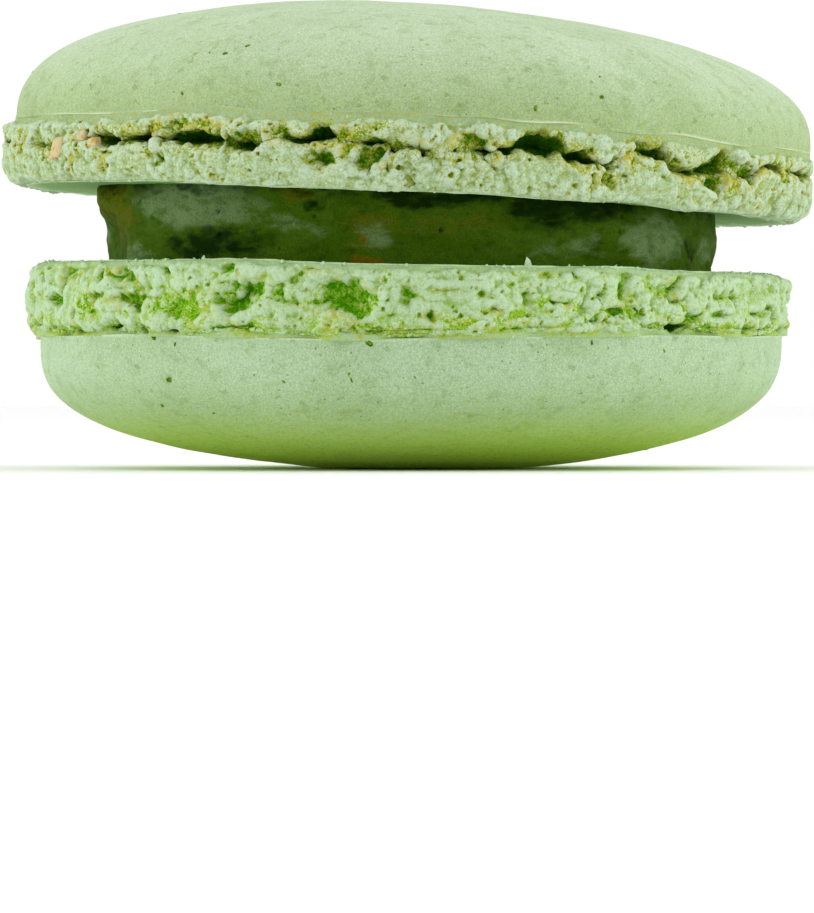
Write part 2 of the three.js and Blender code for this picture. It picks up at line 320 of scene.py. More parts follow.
class ColourSettings(bpy.types.PropertyGroup):
    """Colours of the baked shells, their feet, the cream and the nut pieces."""

    skin: colour("Skin", "Smooth dome", 0.595, 0.745, 0.505)
    flat_skin: colour("Flat skin", "Thin skin of the flat sides", 0.480, 0.800, 0.360)
    # Near the foot the dome is tinted: part toasted tone, part painted shade.
    near_foot_toast_and_shade: colour("Tint near the foot", "Shades the dome just above the foot", 0.720, 0.770, 0.570)
    fresh_skin: colour("Lower skin", "Smooth lower dome", 0.550, 0.735, 0.490)
    # Painted light on the lower dome: shade with green bounce that grows downwards, and a bounce-lit green
    # at its bottom.
    painted_shade_and_bounce_under: colour("Tint underneath", "Shades the lower half of the lower dome", 0.875, 0.915, 0.680)
    painted_green_bounce_bottom: colour("Skin at the bottom", "Lowest part of the lower dome", 0.600, 0.900, 0.065)
    # The lip: a pale dry edge with a painted highlight along it.
    lip_tone_and_highlight: colour("Lip", "Thin dry edge of a dome or a flat side", 0.700, 0.810, 0.580)
    crumb: colour("Upper crumb", "Proud, dry crumb of the upper foot", 0.505, 0.645, 0.455)
    bare: colour("Upper bare strip", "Smooth crumb beside the upper dome", 0.370, 0.500, 0.275)
    fresh_bare: colour("Lower bare strip", "Smooth crumb beside the lower dome", 0.400, 0.560, 0.310)
    # Crevice tones: the crumb between the lumps, darkened as painted shade.
    crumb_crevice_tone_and_shade: colour("Upper crevices", "Crumb between the upper lumps", 0.255, 0.365, 0.085)
    torn: colour("Upper torn crumb", "Yellowish crumb at the upper tears", 0.340, 0.390, 0.035)
    # Inner and depth tones: part moist crumb, part painted shade that darkens torn crumb with its depth.
    # The upper ones are a darker, shaded copy of the lower ones, whose foot faces up to the light.
    inner: colour("Upper inner crumb", "Moist crumb inside the upper tears", 0.130, 0.240, 0.004)
    deep: colour("Upper depths", "Deepest in the upper tears", 0.020, 0.160, 0.002)
    fresh_crumb: colour("Lower crumb", "Proud, dry crumb of the lower foot", 0.500, 0.665, 0.440)
    # Lower crevices: crumb between the lumps, darkened as painted shade.
    fresh_low: colour("Lower crevices", "Crumb between the lower lumps", 0.290, 0.470, 0.110)
    fresh_torn: colour("Lower torn crumb", "Yellowish crumb at the lower hollows", 0.340, 0.520, 0.055)
    # Lower inner and depth tones: part moist crumb, part painted shade, lighter because the lower foot
    # faces up to the light.
    fresh_inner: colour("Lower inner crumb", "Moist crumb inside the lower hollows", 0.165, 0.385, 0.008)
    fresh_deep: colour("Lower depths", "Deepest in the lower hollows", 0.045, 0.280, 0.002)
    rim: colour("Upper rims", "Toasted rims of tears and pores", 0.490, 0.425, 0.035)
    fresh_rim: colour("Lower rims", "Rims of the lower hollows and pores", 0.420, 0.450, 0.035)
    cream: colour("Cream", "Main tone of the cream", 0.052, 0.112, 0.002)
    # Pale cream: greyer patches that are partly a painted sheen.
    cream_pale_and_sheen: colour("Pale cream", "Greyer patches of the cream", 0.165, 0.245, 0.100)
    # Dark cream: dark patches, and painted shade under the upper shell and in the pits.
    cream_dark_and_shade: colour("Dark cream", "Dark patches of the cream", 0.007, 0.024, 0.001)
    cream_olive: colour("Olive cream", "Brownish patches of the cream", 0.105, 0.120, 0.002)
    nut: colour("Nut", "Beige nut pieces", 0.590, 0.510, 0.270)
    nut_skin: colour("Nut skin", "Reddish skin on the nut pieces", 0.540, 0.340, 0.100)
    floor: colour("Floor", "Pale studio floor", 0.980, 0.980, 0.980)


# ---------------------------------------------------------------- noise


def hashed(i, j, k, seed):
    """Repeatable numbers from 0 to 1 for whole-number places: multiply, add and fold the bits."""
    mixed = (
        i.astype(np.uint32) * np.uint32(374761393)
        + j.astype(np.uint32) * np.uint32(668265263)
        + k.astype(np.uint32) * np.uint32(2246822519)
        + np.uint32(seed * 3266489917 % 2**32)
    )
    mixed = (mixed ^ (mixed >> np.uint32(13))) * np.uint32(1274126177)
    mixed = (mixed ^ (mixed >> np.uint32(15))) * np.uint32(2246822519)
    return (mixed ^ (mixed >> np.uint32(16))) / 2**32


def smooth(x):
    """3x^2 - 2x^3 of x held between 0 and 1."""
    t = np.clip(x, 0, 1)
    return t * t * (3 - 2 * t)


def noise(points, size, seed):
    """Smooth noise from -1 to 1: random values on a cubic lattice, blended between its corners."""
    place = points / size
    corner = np.floor(place)
    part = smooth(place - corner)
    i, j, k = np.moveaxis(corner.astype(np.int64), -1, 0)
    total = 0
    for step in np.ndindex(2, 2, 2):
        weight = np.prod(np.where(step, part, 1 - part), axis=-1)
        total = total + weight * hashed(i + step[0], j + step[1], k + step[2], seed)
    return 2 * total - 1


def cells(points, size, seed):
    """Distance, in cell sizes, to the nearest of the points scattered one to a cubic cell, and a
    random number that belongs to that point."""
    place = points / size
    corner = np.floor(place)
    i, j, k = np.moveaxis(corner.astype(np.int64), -1, 0)
    nearest = np.full(place.shape[:-1], 9.0)
    owner = np.zeros(place.shape[:-1])
    for step in np.ndindex(3, 3, 3):
        a, b, c = i + step[0] - 1, j + step[1] - 1, k + step[2] - 1
        away = (a + hashed(a, b, c, seed) - place[..., 0]) ** 2
        away += (b + hashed(a, b, c, seed + 1) - place[..., 1]) ** 2
        away += (c + hashed(a, b, c, seed + 2) - place[..., 2]) ** 2
        closer = away < nearest
        nearest = np.where(closer, away, nearest)
        owner = np.where(closer, hashed(a, b, c, seed + 3), owner)
    return np.sqrt(nearest), owner


def layered(points, seed, *layers):
    """Sum of noises, each with its height, its size in millimetres and the next seed."""
    return sum(height * noise(points, size * MM, seed + n) for n, (height, size) in enumerate(layers))


def clumps(points, start, contrast, size, seed):
    """Soft clumps from 0 to 1: the smooth step of a start plus noise of a size in millimetres."""
    return smooth(start + contrast * noise(points, size * MM, seed))


def draws(i, skip, step, seed, count):
    """Repeatable random numbers from 0 to 1 for the things numbered i: one list for each count."""
    return [hashed(i, i + skip, i + step * n, seed + n) for n in range(count)]


def bell(x, width):
    """Bell curve exp(-(x / width)^2)."""
    return np.exp(-((x / width) ** 2))


def rounded(distance, reach):
    """How far a rounded edge falls back: a quarter circle, 1 at the edge and 0 at its reach."""
    return 1 - np.sqrt(1 - np.clip(1 - distance / reach, 0, 1) ** 2)


def waves(bearing, terms):
    """Sum of sines of the bearing, each with its count, height and phase."""
    return sum(height * np.sin(count * bearing + phase) for count, height, phase in terms)


def bumps(bearing, terms):
    """Sum of bell curves round the macaron, each with its bearing, height and width."""
    total = 0
    for degrees, height, width in terms:
        total = total + height * MM * bell(away_from(bearing, degrees, 1), np.radians(width))
    return total


def averaged(values, reach):
    """Mean over a square window of a grid that closes both ways."""
    for axis in (0, 1):
        values = sum(np.roll(values, step, axis) for step in range(-reach, reach + 1)) / (2 * reach + 1)
    return values


# ---------------------------------------------------------------- meshes


def grid_object(name, grid, material, closed_rows=False, poles=None, marks=None):
    """A closed mesh from a grid of points: rows by columns, joined round the columns.

    The rows are joined round as well, or each end is closed to a pole. The faces are turned to
    point outwards by the sign of the volume that they enclose. marks are values for each vertex.
    """
    rows, columns, _ = grid.shape
    index = np.arange(rows * columns).reshape(rows, columns)
    upper = np.roll(index, -1, axis=0) if closed_rows else index[1:]
    lower = index if closed_rows else index[:-1]
    quads = np.stack([lower, np.roll(lower, -1, 1), np.roll(upper, -1, 1), upper], -1).reshape(-1, 4)
    points = grid.reshape(-1, 3)
    faces = [quads]
    if poles is not None:
        points = np.vstack([points, poles])
        first, last = index[0], index[-1]
        pole = np.full(columns, rows * columns)
        faces.append(np.stack([np.roll(first, -1), first, pole], -1))
        faces.append(np.stack([last, np.roll(last, -1), pole + 1], -1))
    triangles = np.vstack([quads[:, :3], quads[:, [0, 2, 3]], *faces[1:]])
    a, b, c = points[triangles[:, 0]], points[triangles[:, 1]], points[triangles[:, 2]]
    if np.einsum("ij,ij->", a, np.cross(b, c)) < 0:
        faces = [part[:, ::-1] for part in faces]
    return mesh_object(name, points, [face for part in faces for face in part.tolist()], material, marks)


def mesh_object(name, points, faces, material, marks=None, is_smooth=True):
    """An object at the origin with these points and faces, in metres."""
    mesh = bpy.data.meshes.new(name)
    mesh.from_pydata(points.tolist(), [], faces)
    mesh.polygons.foreach_set("use_smooth", [is_smooth] * len(faces))
    for label, values in (marks or {}).items():
        filled = np.zeros(len(points), np.float32)
        filled[: values.size] = values.ravel()
        mesh.attributes.new(label, "FLOAT", "POINT").data.foreach_set("value", filled)
    mesh.materials.append(material)
    made = bpy.data.objects.new(name, mesh)
    bpy.context.scene.collection.objects.link(made)
    return made


def belongs(piece, node):
    """The piece is part of the macaron: it hangs from the root and stands for a solid, whose imported part
    it hides.
    """
    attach(piece, "root")
    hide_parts(node)


def outward(grid, sign):
    """Unit normals of a grid that closes both ways: the cross product of the steps to its
    neighbours round the columns and along the rows."""
    across = np.roll(grid, -1, 1) - np.roll(grid, 1, 1)
    along = np.roll(grid, -1, 0) - np.roll(grid, 1, 0)
    normal = np.cross(across, along) * sign
    return normal / np.maximum(np.linalg.norm(normal, axis=-1, keepdims=True), 1e-12)


# ---------------------------------------------------------------- shells


FLAT_SPOT = 0.22  # radius of the lower dome's flat spot as a share of the dome's radius


class Shell:
    """One shell's sizes and form, with the curves that all its pieces share."""

    def __init__(self, sizes, form):
        self.sizes = sizes
        self.form = form

    def edge(self, bearing):
        """Height of the flat side's rim."""
        tilt = self.sizes.foot_radius * np.sin(bearing) * np.tan(self.sizes.flat_lean)
        return tilt + waves(bearing, self.form.edge_waves) + bumps(bearing, self.form.edge_bumps)

    def skirt(self, bearing):
        """Height of the dome's edge."""
        height = self.sizes.foot_height + waves(bearing, self.form.skirt_waves)
        return height + bumps(bearing, self.form.skirt_bumps)

    def foot_level(self, share, bearing):
        """Height at a share of the way from the rim up to the dome's edge."""
        return (1 - share) * self.edge(bearing) + share * self.skirt(bearing)

    def face_radius(self, share, bearing):
        """Radius of the foot's face: a circle that is drawn in along a quarter of an ellipse at the
        flat side and by a smooth step under the dome's edge."""
        sizes = self.sizes
        drawn_in = sizes.base_round * (1 - 0.6 * np.cos(bearing) ** 2)
        drawn_in = drawn_in * rounded(share * sizes.foot_height, sizes.base_round_height)
        proud = sizes.foot_radius - sizes.skirt_radius
        proud = proud + (sizes.foot_shift - sizes.dome_shift) * np.sin(bearing) + sizes.shoulder
        drawn_in = drawn_in + proud * smooth((share - 0.8) / 0.15)
        return sizes.foot_radius - drawn_in + waves(bearing, PLAN_WAVES)

    def circle(self, bearing):
        """Points round a circle as wide as the foot, for noise along a rim."""
        return np.stack([np.sin(bearing), np.cos(bearing), 0 * bearing], -1) * self.sizes.foot_radius

    def place(self, radius, height, bearing, shift):
        """Points in the shared frame: polar ones on the shell's own axis, turned by its lean."""
        sizes = self.sizes
        x = radius * np.sin(bearing) + shift
        z = self.form.side * height
        turned_x = x * np.cos(sizes.lean) + z * np.sin(sizes.lean)
        turned_z = sizes.level - x * np.sin(sizes.lean) + z * np.cos(sizes.lean)
        return np.stack(np.broadcast_arrays(turned_x, -radius * np.cos(bearing), turned_z), -1)

    def on_foot(self, share, inset, bearing):
        """Points at a share up the foot and an inset behind its face."""
        radius = self.face_radius(share, bearing) - inset
        return self.place(radius, self.foot_level(share, bearing), bearing, self.sizes.foot_shift)

    def dome_curve(self, sweep, bearing):
        """Radius and height at a sweep from 0 at the dome's edge to a quarter turn at its pole:
        (r / R)^2 + (h / H)^power = 1, with the foot's waves fading out upwards. The lower dome is cut
        off level with the floor."""
        sizes = self.sizes
        spot = FLAT_SPOT if self.form.side < 0 else 0.0
        full = sizes.dome_height / (1 - spot**2) ** (1 / sizes.dome_power)
        edge = np.cos(sweep) ** 2
        radius = sizes.skirt_radius * np.cos(sweep) + edge * waves(bearing, PLAN_WAVES)
        height = edge * self.skirt(bearing) + (1 - edge) * sizes.foot_height
        height = height + full * np.sin(sweep) ** (2 / sizes.dome_power)
        height = height - (1 - edge) * radius * np.sin(bearing) * np.tan(sizes.dome_lean)
        return radius, np.minimum(height, sizes.level) if self.form.side < 0 else height

    def on_dome(self, sweep, bearing):
        """A point on the dome, without its unevenness."""
        return self.place(*self.dome_curve(sweep, bearing), bearing, self.sizes.dome_shift)


def bearings(columns, pull=0.0):
    """Bearings once round, evenly spaced or drawn together towards the front."""
    even = np.arange(columns) / columns * TURN
    return even - pull * np.sin(even)


def away_from(bearing, degrees, radius):
    """Distance round a circle from a bearing given in degrees, the short way, with its sign."""
    turn = bearing - np.radians(degrees)
    return np.arctan2(np.sin(turn), np.cos(turn)) * radius


BACK_TEARS_FROM, BACK_TEARS_REACH = 72, 214  # degrees
BACK_BOWLS_FROM, BACK_BOWLS_REACH = 74, 212
BACK_BOWLS = 20


def all_tears(form):
    """The named tears, then ones scattered evenly with random sizes round the back."""
    count, share, drift, half_height = form.back
    i = np.arange(count)
    place, rise, width, tall, deep = draws(i, 7, 3, form.seed + 100, 5)
    back = (
        BACK_TEARS_FROM + (i + 0.15 + 0.7 * place) / count * BACK_TEARS_REACH,
        share + drift * (2 * rise - 1),
        0.5 + 1.7 * width**1.5,
        half_height * (0.35 + 0.65 * tall),
        1.2 + 1.6 * deep,
    )
    return np.vstack([form.tears, np.stack(back, -1)])


def all_bowls(form):
    """The named bowls, then ones scattered with random sizes round the back."""
    i = np.arange(BACK_BOWLS)
    place, rise, width, tall, deep = draws(i, 11, 5, form.seed + 200, 5)
    back = (
        BACK_BOWLS_FROM + (i + 0.1 + 0.8 * place) / BACK_BOWLS * BACK_BOWLS_REACH,
        0.36 + 0.3 * rise,
        0.35 + 1.2 * width**2,
        0.2 + 0.5 * tall,
        0.5 + 0.9 * deep,
    )
    return np.vstack([form.bowls, np.stack(back, -1)])


OVERLAP = 0.05  # how far the two bands overlap where the crack is shut, as a share of the foot


class Crack:
    """The crack's two lips, its depth, and the torn valley round it, on each bearing.

    It runs through the tears' middles, each weighted by a bell curve of its distance. Where a tear
    opens it, the lips part along an arch that is pointed at its ends. Then both wander by noise.
    """

    def __init__(self, shell, bearing):
        form, sizes = shell.form, shell.sizes
        self.tall = sizes.foot_height / MM
        circle = shell.circle(bearing)
        wander = 0.45 * noise(circle, 0.8 * MM, form.seed + 9)
        weights, heights = 0.02, 0.02 * form.back[1]
        arches = []
        for n, (degrees, share, half_width, half_height, depth) in enumerate(all_tears(form)):
            along = away_from(bearing, degrees, sizes.foot_radius) / MM
            weight = bell(along, 1.4)
            weights, heights = weights + weight, heights + weight * share
            away = np.abs(along) / (1.15 * half_width) + 0.3 * wander / max(half_width, 0.6)
            arch = np.clip(1 - np.clip(away, 0, 1) ** 1.6, 0, 1)
            reach, uneven = half_height / self.tall, 0.3 * np.sin(2.4 * n)
            arches.append((arch, share, reach * (1 + uneven), reach * (1 - uneven), depth))
        self.line = heights / weights
        shut_floor, shut_ceiling = self.line + OVERLAP, self.line - OVERLAP
        floor, ceiling = shut_floor, shut_ceiling
        deepest = np.full_like(bearing, 0.25 * form.valley[2])
        for arch, share, above, below, depth in arches:
            is_open = smooth(arch / 0.35)
            lower_lip = shut_floor + is_open * (share - below * arch - self.line - OVERLAP)
            upper_lip = shut_ceiling + is_open * (share + above * arch - self.line + OVERLAP)
            floor, ceiling = np.minimum(floor, lower_lip), np.maximum(ceiling, upper_lip)
            deepest = np.maximum(deepest, depth * np.sqrt(arch))
        self.gap = smooth((ceiling - floor + 0.03) / 0.08)
        loose = 0.3 + 0.7 * self.gap
        floor_noise = layered(circle, form.seed + 1, (0.12, 0.9), (0.1, 0.4), (0.05, 0.18))
        ceiling_noise = layered(circle, form.seed + 5, (0.15, 1.1), (0.11, 0.45), (0.06, 0.2))
        self.floor = np.clip(floor + floor_noise * loose / self.tall, 0.08, 0.97)
        self.ceiling = np.clip(ceiling + ceiling_noise * loose / self.tall, 0.12, 0.975)
        self.depth = deepest * MM
        above, below, self.valley = form.valley
        torn = 0.45 + 0.55 * self.gap
        self.above = above * (0.15 + 0.85 * clumps(circle, 0.5, 0.9, 2.6, form.seed + 15)) * torn
        self.below = below * (0.1 + 0.9 * clumps(circle, 0.5, 0.9, 2.1, form.seed + 16)) * torn


def column(start, stop, count):
    """Evenly spaced values, one for each row of a grid."""
    return np.linspace(start, stop, count)[:, None]


CAVE_ROWS = 11
CAVE_START = 0.09  # how deep the first row lies in the crack, as a share of its depth
TUCK = 0.1 * MM  # how far the dome's band slips behind the other where the crack is shut
SHUT_LIP = 0.04  # radius of both lips in millimetres where the crack is shut


def base_band(shell, crack, bearing, rows):
    """The band at the flat side as rows round its section: in along the flat side, up the face,
    over a rounded lip, and back along the crack's floor.

    Gives the rows' shares, their insets, how far back in the crack they are and which is the lip.
    """
    face_rows = rows - CAVE_ROWS - 4
    lip = (SHUT_LIP + 0.26 * crack.gap) * MM
    rise = column(0, 1, face_rows) ** 0.95
    share = crack.floor * rise
    round_in = lip * rounded((1 - rise) * crack.floor * shell.sizes.foot_height, lip)
    back = column(CAVE_START, 1, CAVE_ROWS)
    floor = crack.floor + (crack.line - crack.floor) * smooth((back - 0.3) / 0.7)
    flat = np.ones((1, len(bearing)))
    shares = [0.10 * flat, 0.03 * flat, share, floor, 0.7 * crack.line[None], 0.3 * flat]
    end = (HIDDEN_DEPTH + lip)[None]
    insets = [HIDDEN_DEPTH * flat, 0.6 * MM * flat, round_in, lip + crack.depth * back, end, end]
    back_part = np.concatenate([np.zeros(face_rows + 2), back[:, 0], [1, 1]])
    return np.concatenate(shares), np.concatenate(insets), back_part, face_rows + 1


def collar_band(shell, crack, bearing, rows):
    """The band at the dome as rows round its section: out along the crack's ceiling, over a rounded
    lip, up the face, and in under the dome. Where the crack is shut its lip lies behind the other
    band's. Gives the same as base_band."""
    face_rows = rows - CAVE_ROWS - 4
    lip = (SHUT_LIP + 0.3 * crack.gap) * MM
    back = column(1, CAVE_START, CAVE_ROWS)
    ceiling = crack.ceiling + (crack.line - crack.ceiling) * smooth((back - 0.3) / 0.7)
    rise = column(0, 1, face_rows) ** 1.05
    share = crack.ceiling + (1.01 - crack.ceiling) * rise
    above_lip = (share - crack.ceiling) * shell.sizes.foot_height
    tucked = TUCK * (1 - crack.gap) * smooth(1 - above_lip / (0.5 * MM))
    round_in = lip * rounded(above_lip, lip) + tucked
    flat = np.ones((1, len(bearing)))
    shares = [0.6 * flat, ceiling, share, 1.04 * flat, 1.04 * flat, 0.8 * flat]
    end = (HIDDEN_DEPTH + lip)[None]
    insets = [end, lip + crack.depth * back, round_in, 0.8 * MM * flat, end, end]
    back_part = np.concatenate([[1], back[:, 0], np.zeros(face_rows), [0, 0, 0]])
    return np.concatenate(shares), np.concatenate(insets), back_part, CAVE_ROWS + 1


def pits(shell, crack, points, share, bearing):
    """How deep the face is torn away, and how far inside a rim each point is, in millimetres.

    A bowl's inside distance is one less the distance in half sizes, times its smaller half size. The
    valley's is its reach less the height from the crack. A hollow's is the excess of two noises.
    Noise bends the outlines and makes the rims ragged. Depth grows fast at first and gently after.
    """
    seed = shell.form.seed
    ragged = layered(points, seed + 21, (0.22, 0.9), (0.12, 0.36))
    slope = 0.38 + 0.5 * clumps(points, 0.35, 1.3, 1.3, seed + 23)
    height = share * crack.tall
    up = height - crack.line * crack.tall
    inside = np.where(up > 0, crack.above, crack.below) - np.abs(up) + 0.8 * ragged
    depth = crack.valley * (0.55 * smooth(inside / slope) + 0.45 * smooth(inside / 0.7))
    rare, full = shell.form.hollows
    excess = layered(points, seed + 24, (0.65, 1.25), (0.4, 0.55)) - rare
    middle_part = smooth(height / 0.5) * smooth((crack.tall - 0.35 - height) / 0.4)
    within = (excess - 0.5 * (1 - middle_part)) * 0.75
    depth = np.maximum(depth, full * (0.5 * smooth(within / slope) + 0.5 * smooth(within / 0.35)))
    inside = np.maximum(inside, within)
    bend_along = layered(points, seed + 26, (0.45, 1.1), (0.15, 0.4))
    bend_up = 0.3 * noise(points, 0.9 * MM, seed + 28)
    for n, (degrees, middle, half_width, half_height, full) in enumerate(all_bowls(shell.form)):
        along = away_from(bearing, degrees, shell.sizes.foot_radius)[None] / MM
        along = along + bend_along * min(1, half_width)
        rise = height - middle * crack.tall + bend_up * min(1, 1.5 * half_height)
        away = np.hypot(along / half_width, rise / half_height)
        small = min(half_width, half_height)
        full = min(full, 1.7 * small)
        within = (1.1 - away) * small + ragged * min(1, 1.5 * small)
        tilt = 1 + 0.3 * np.cos(2.1 * n) * np.clip(along / half_width, -1, 1)
        dish = 0.5 * smooth(within / slope) + 0.5 * smooth(within / (0.9 * small))
        depth = np.maximum(depth, full * tilt * dish)
        inside = np.maximum(inside, within)
    return depth, inside


def stain(form, points, share, bearing, tall):
    """Strength of the moist patches: each falls off smoothly from its middle, and the strongest
    counts. Noise bends them."""
    strength = np.zeros(share.shape)
    bend = 0.5 * noise(points, 0.9 * MM, form.seed + 81)
    for degrees, middle, half_width, half_height, full in form.stains:
        along = away_from(bearing, degrees, np.linalg.norm(points[..., :2], axis=-1)) / MM
        away = np.hypot((along + bend) / half_width, ((share - middle) * tall + 0.5 * bend) / half_height)
        strength = np.maximum(strength, full * smooth(1.3 - away))
    return strength


def froth(grid, sign, amount, seed, layers):
    """Cauliflower relief: for each layer, balls round scattered points push the surface out along
    its normal, by a height that noise varies. Gives the new grid and the pushes in millimetres."""
    relief = np.zeros(grid.shape[:2])
    for n, (size, height) in enumerate(layers):
        away, _ = cells(grid, size * MM, seed + 10 * n)
        vary = 0.5 + 0.5 * noise(grid, 1.7 * size * MM, seed + 10 * n + 5)
        ball = np.clip(1 - (away / (0.7 + 0.25 * vary)) ** 2, 0, 1) ** 0.65
        push = height * (ball - 0.5) * amount * (0.3 + 1.4 * vary)
        grid = grid + outward(grid, sign) * (push * MM)[..., None]
        relief += push
    return grid, relief


def pores(points, seed):
    """Pinholes, from 0 to 1 at their middle: a dot round most of the scattered points."""
    bend = np.stack([0.13 * noise(points, 0.22 * MM, seed + 4 + n) for n in range(3)], -1)
    away, owner = cells(points + bend * MM, 0.5 * MM, seed)
    radius = 0.15 + 0.22 * (owner * 7 % 1) ** 2
    return smooth((radius - away) / 0.15) * (owner < 0.85)


# Layers of froth: the size of its balls and their height, in millimetres.
FROTH_LAYERS = ((1.3, 0.26), (0.6, 0.12), (0.26, 0.08))
CORE_LAYERS = ((0.9, 0.3),)
FROTH_REACH = 2.9 * MM  # how far in the froth goes
CAVE_FROTH = 1.1
CRUST_STEP = 0.14  # millimetres over which a smooth strip turns into open crumb
CRUST_RELIEF = 0.06  # how far open crumb stands out
ROLLED_RIM = 0.12  # how far the rims of pits are rolled up
PORE_DEPTH = 0.2 * MM


class Band:
    """One band of the foot: its section carried round, torn by pits and pores, and frothed.

    Heights, depths and reliefs are in millimetres. The crust is 1 on open crumb and 0 on the smooth
    strips next to the flat side and the dome.
    """

    def __init__(self, shell, section, rows, columns):
        self.form = form = shell.form
        self.bearing = bearing = bearings(columns, FRONT_PULL)
        self.crack = crack = Crack(shell, bearing)
        # Which way the lip faces: the marks paint more shade on lips that face down.
        self.faces_down = (section is collar_band) == (form.side > 0)
        self.share, inset, self.back, lip_row = section(shell, crack, bearing, rows)
        self.height = height = self.share * crack.tall
        self.from_lip = (self.share - self.share[lip_row]) * crack.tall
        self.near = near = shell.on_foot(self.share, inset, bearing)
        self.is_face = is_face = ((self.back == 0)[:, None] & (inset < 0.5 * MM)).astype(float)
        self.is_cave = (self.back > 0)[:, None]
        depth, self.inside = pits(shell, crack, near, self.share, bearing)
        depth = depth * is_face
        self.depth = depth = np.where(self.is_cave, depth[lip_row], depth)
        rough = layered(near, form.seed + 25, (0.25, 0.9), (0.12, 0.35))
        crust = smooth((height - form.strips[0] + rough) / CRUST_STEP)
        crust = crust * smooth((crack.tall - form.strips[1] + rough - height) / CRUST_STEP)
        self.crust = crust
        rolled = ROLLED_RIM * bell(self.inside + 0.22, 0.2) * is_face
        raised = (CRUST_RELIEF * crust + rolled * crust) * is_face
        swell = form.swell * noise(near, 2.0 * MM, form.seed + 33)
        raised = raised + swell * smooth(height / 0.5) * is_face
        grid = shell.on_foot(self.share, inset + (depth - raised) * MM, bearing)
        grid, relief = froth(grid, form.side, self.froth_amount(inset), form.seed + 40, FROTH_LAYERS)
        pore = pores(near, form.seed + 70) * is_face * smooth(height / 0.3) * (self.inside < 0.25)
        self.pore = pore = pore * (0.1 + 0.9 * crust)
        self.grid = grid - outward(grid, form.side) * (PORE_DEPTH * pore)[..., None]
        level = relief + raised - depth - 0.1 * pore
        self.proud = level - averaged(level, 4)
        self.proud_wide = level - averaged(level, 11)

    def froth_amount(self, inset):
        """How strong the froth is: weak on the smooth strips and at the dome, none out of sight."""
        wide = noise(self.near, 2.4 * MM, self.form.seed + 31)
        amount = (0.5 + 0.5 * self.crust) * np.clip(1 + 0.6 * wide, 0.35, 1.6) * smooth(self.height / 0.15)
        amount = amount * (0.15 + 0.85 * smooth((self.crack.tall - 0.05 - self.height) / 0.4))
        return np.where(self.is_cave, CAVE_FROTH, amount) * (inset < FROTH_REACH)

    def clumps(self, start, contrast, size, seed):
        """Clumps on this band, with a seed of their own."""
        return clumps(self.near, start, contrast, size, self.form.seed + seed)

    def moist_and_ochre(self):
        """Strength of the moist crumb and of its ochre grains: the stains and the crack's scorch."""
        moist = stain(self.form, self.near, self.share, self.bearing, self.crack.tall)
        by_crack = bell(self.height - self.crack.line * self.crack.tall, 0.8) * self.form.scorch
        moist = np.maximum(moist, by_crack * self.clumps(0.45, 1.3, 1.6, 38))
        ochre = moist * self.clumps(0.1, 1.6, 0.3, 39)
        clumped = 0.55 + 1.1 * noise(self.near, 0.4 * MM, self.form.seed + 36)
        return moist * smooth(clumped - 0.9 * self.proud / 0.1), ochre

    def marks(self):
        """Where the crumb is low between its lumps (painted shade), toasted on a rim, torn open and bare,
        each from 0 to 1. Torn is the strongest of pits, moist patches, the side turned to the crack and
        sunken hollows; it carries painted shade that darkens pits and the crack with depth, sunken
        hollows, and the side turned to the crack where it faces down."""
        is_face, pore = self.is_face, self.pore
        # Low: painted shade between the lumps and in wide hollows, a little more on the smooth strips.
        low = 0.5 - self.proud / 0.08 * 0.35 - self.proud_wide / 0.25 * 0.35 - 0.12 * (self.crust - 0.6)
        fine = self.clumps(0.5, 1.2, 0.2, 34)
        patchy = self.clumps(0.4, 1.1, 1.1, 35)
        speck = 2 * self.clumps(0.5, 1.4, 0.14, 37) - 1
        moist, ochre = self.moist_and_ochre()
        fringe = bell(self.inside - 0.04, 0.08) * is_face * patchy
        pore_edge = 4 * pore * (1 - pore) + 0.4 * pore
        under_lip = bell(self.crack.tall - 0.05 - self.height, 0.08) * is_face
        rim = fringe * (0.2 + 0.8 * fine) + 0.8 * pore_edge * is_face + 0.6 * under_lip * fine
        rim = rim + 0.75 * ochre * is_face
        # Mottle: random, and also lighter on proud grains and darker between them as painted shade.
        mottle = 0.1 * (2 * fine - 1) + 0.1 * speck - np.clip(0.3 * self.proud / 0.1, -0.2, 0.2)
        # Pits darken with depth: part moist crumb, part painted shade.
        in_pit = smooth((self.inside + 0.12 * speck) / 0.3)
        pit = in_pit * (0.22 + self.form.moist * self.depth + 1.7 * mottle)
        # Painted shade on the crumb turned to the crack, stronger where it faces down.
        turned = bell(self.from_lip, 0.2) * is_face
        turned = turned * (0.45 if self.faces_down else 0.22) * (0.5 + 0.5 * patchy + mottle)
        # Painted shade in hollows that sink below their wide surroundings.
        sunken_shade = 0.5 * smooth((-self.proud_wide - 0.1) / 0.35) * is_face
        torn = np.maximum(np.maximum(pit, 0.58 * moist), np.maximum(turned, sunken_shade)) + 0.62 * pore
        # In the crack the crumb darkens with depth: painted shade.
        cave_depth_shade = 0.42 + 0.7 * smooth(self.back[:, None] * self.crack.depth / (1.2 * MM))
        torn = np.where(self.is_cave, cave_depth_shade + mottle, torn)
        marks = {"low": low, "rim": rim, "torn": torn, "bare": (1 - self.crust) * is_face}
        return {label: np.clip(values, 0, 1) for label, values in marks.items()}

    def piece(self, name, material):
        """The band as an object, marked for the crumb material."""
        return grid_object(name, self.grid, material, closed_rows=True, marks=self.marks())


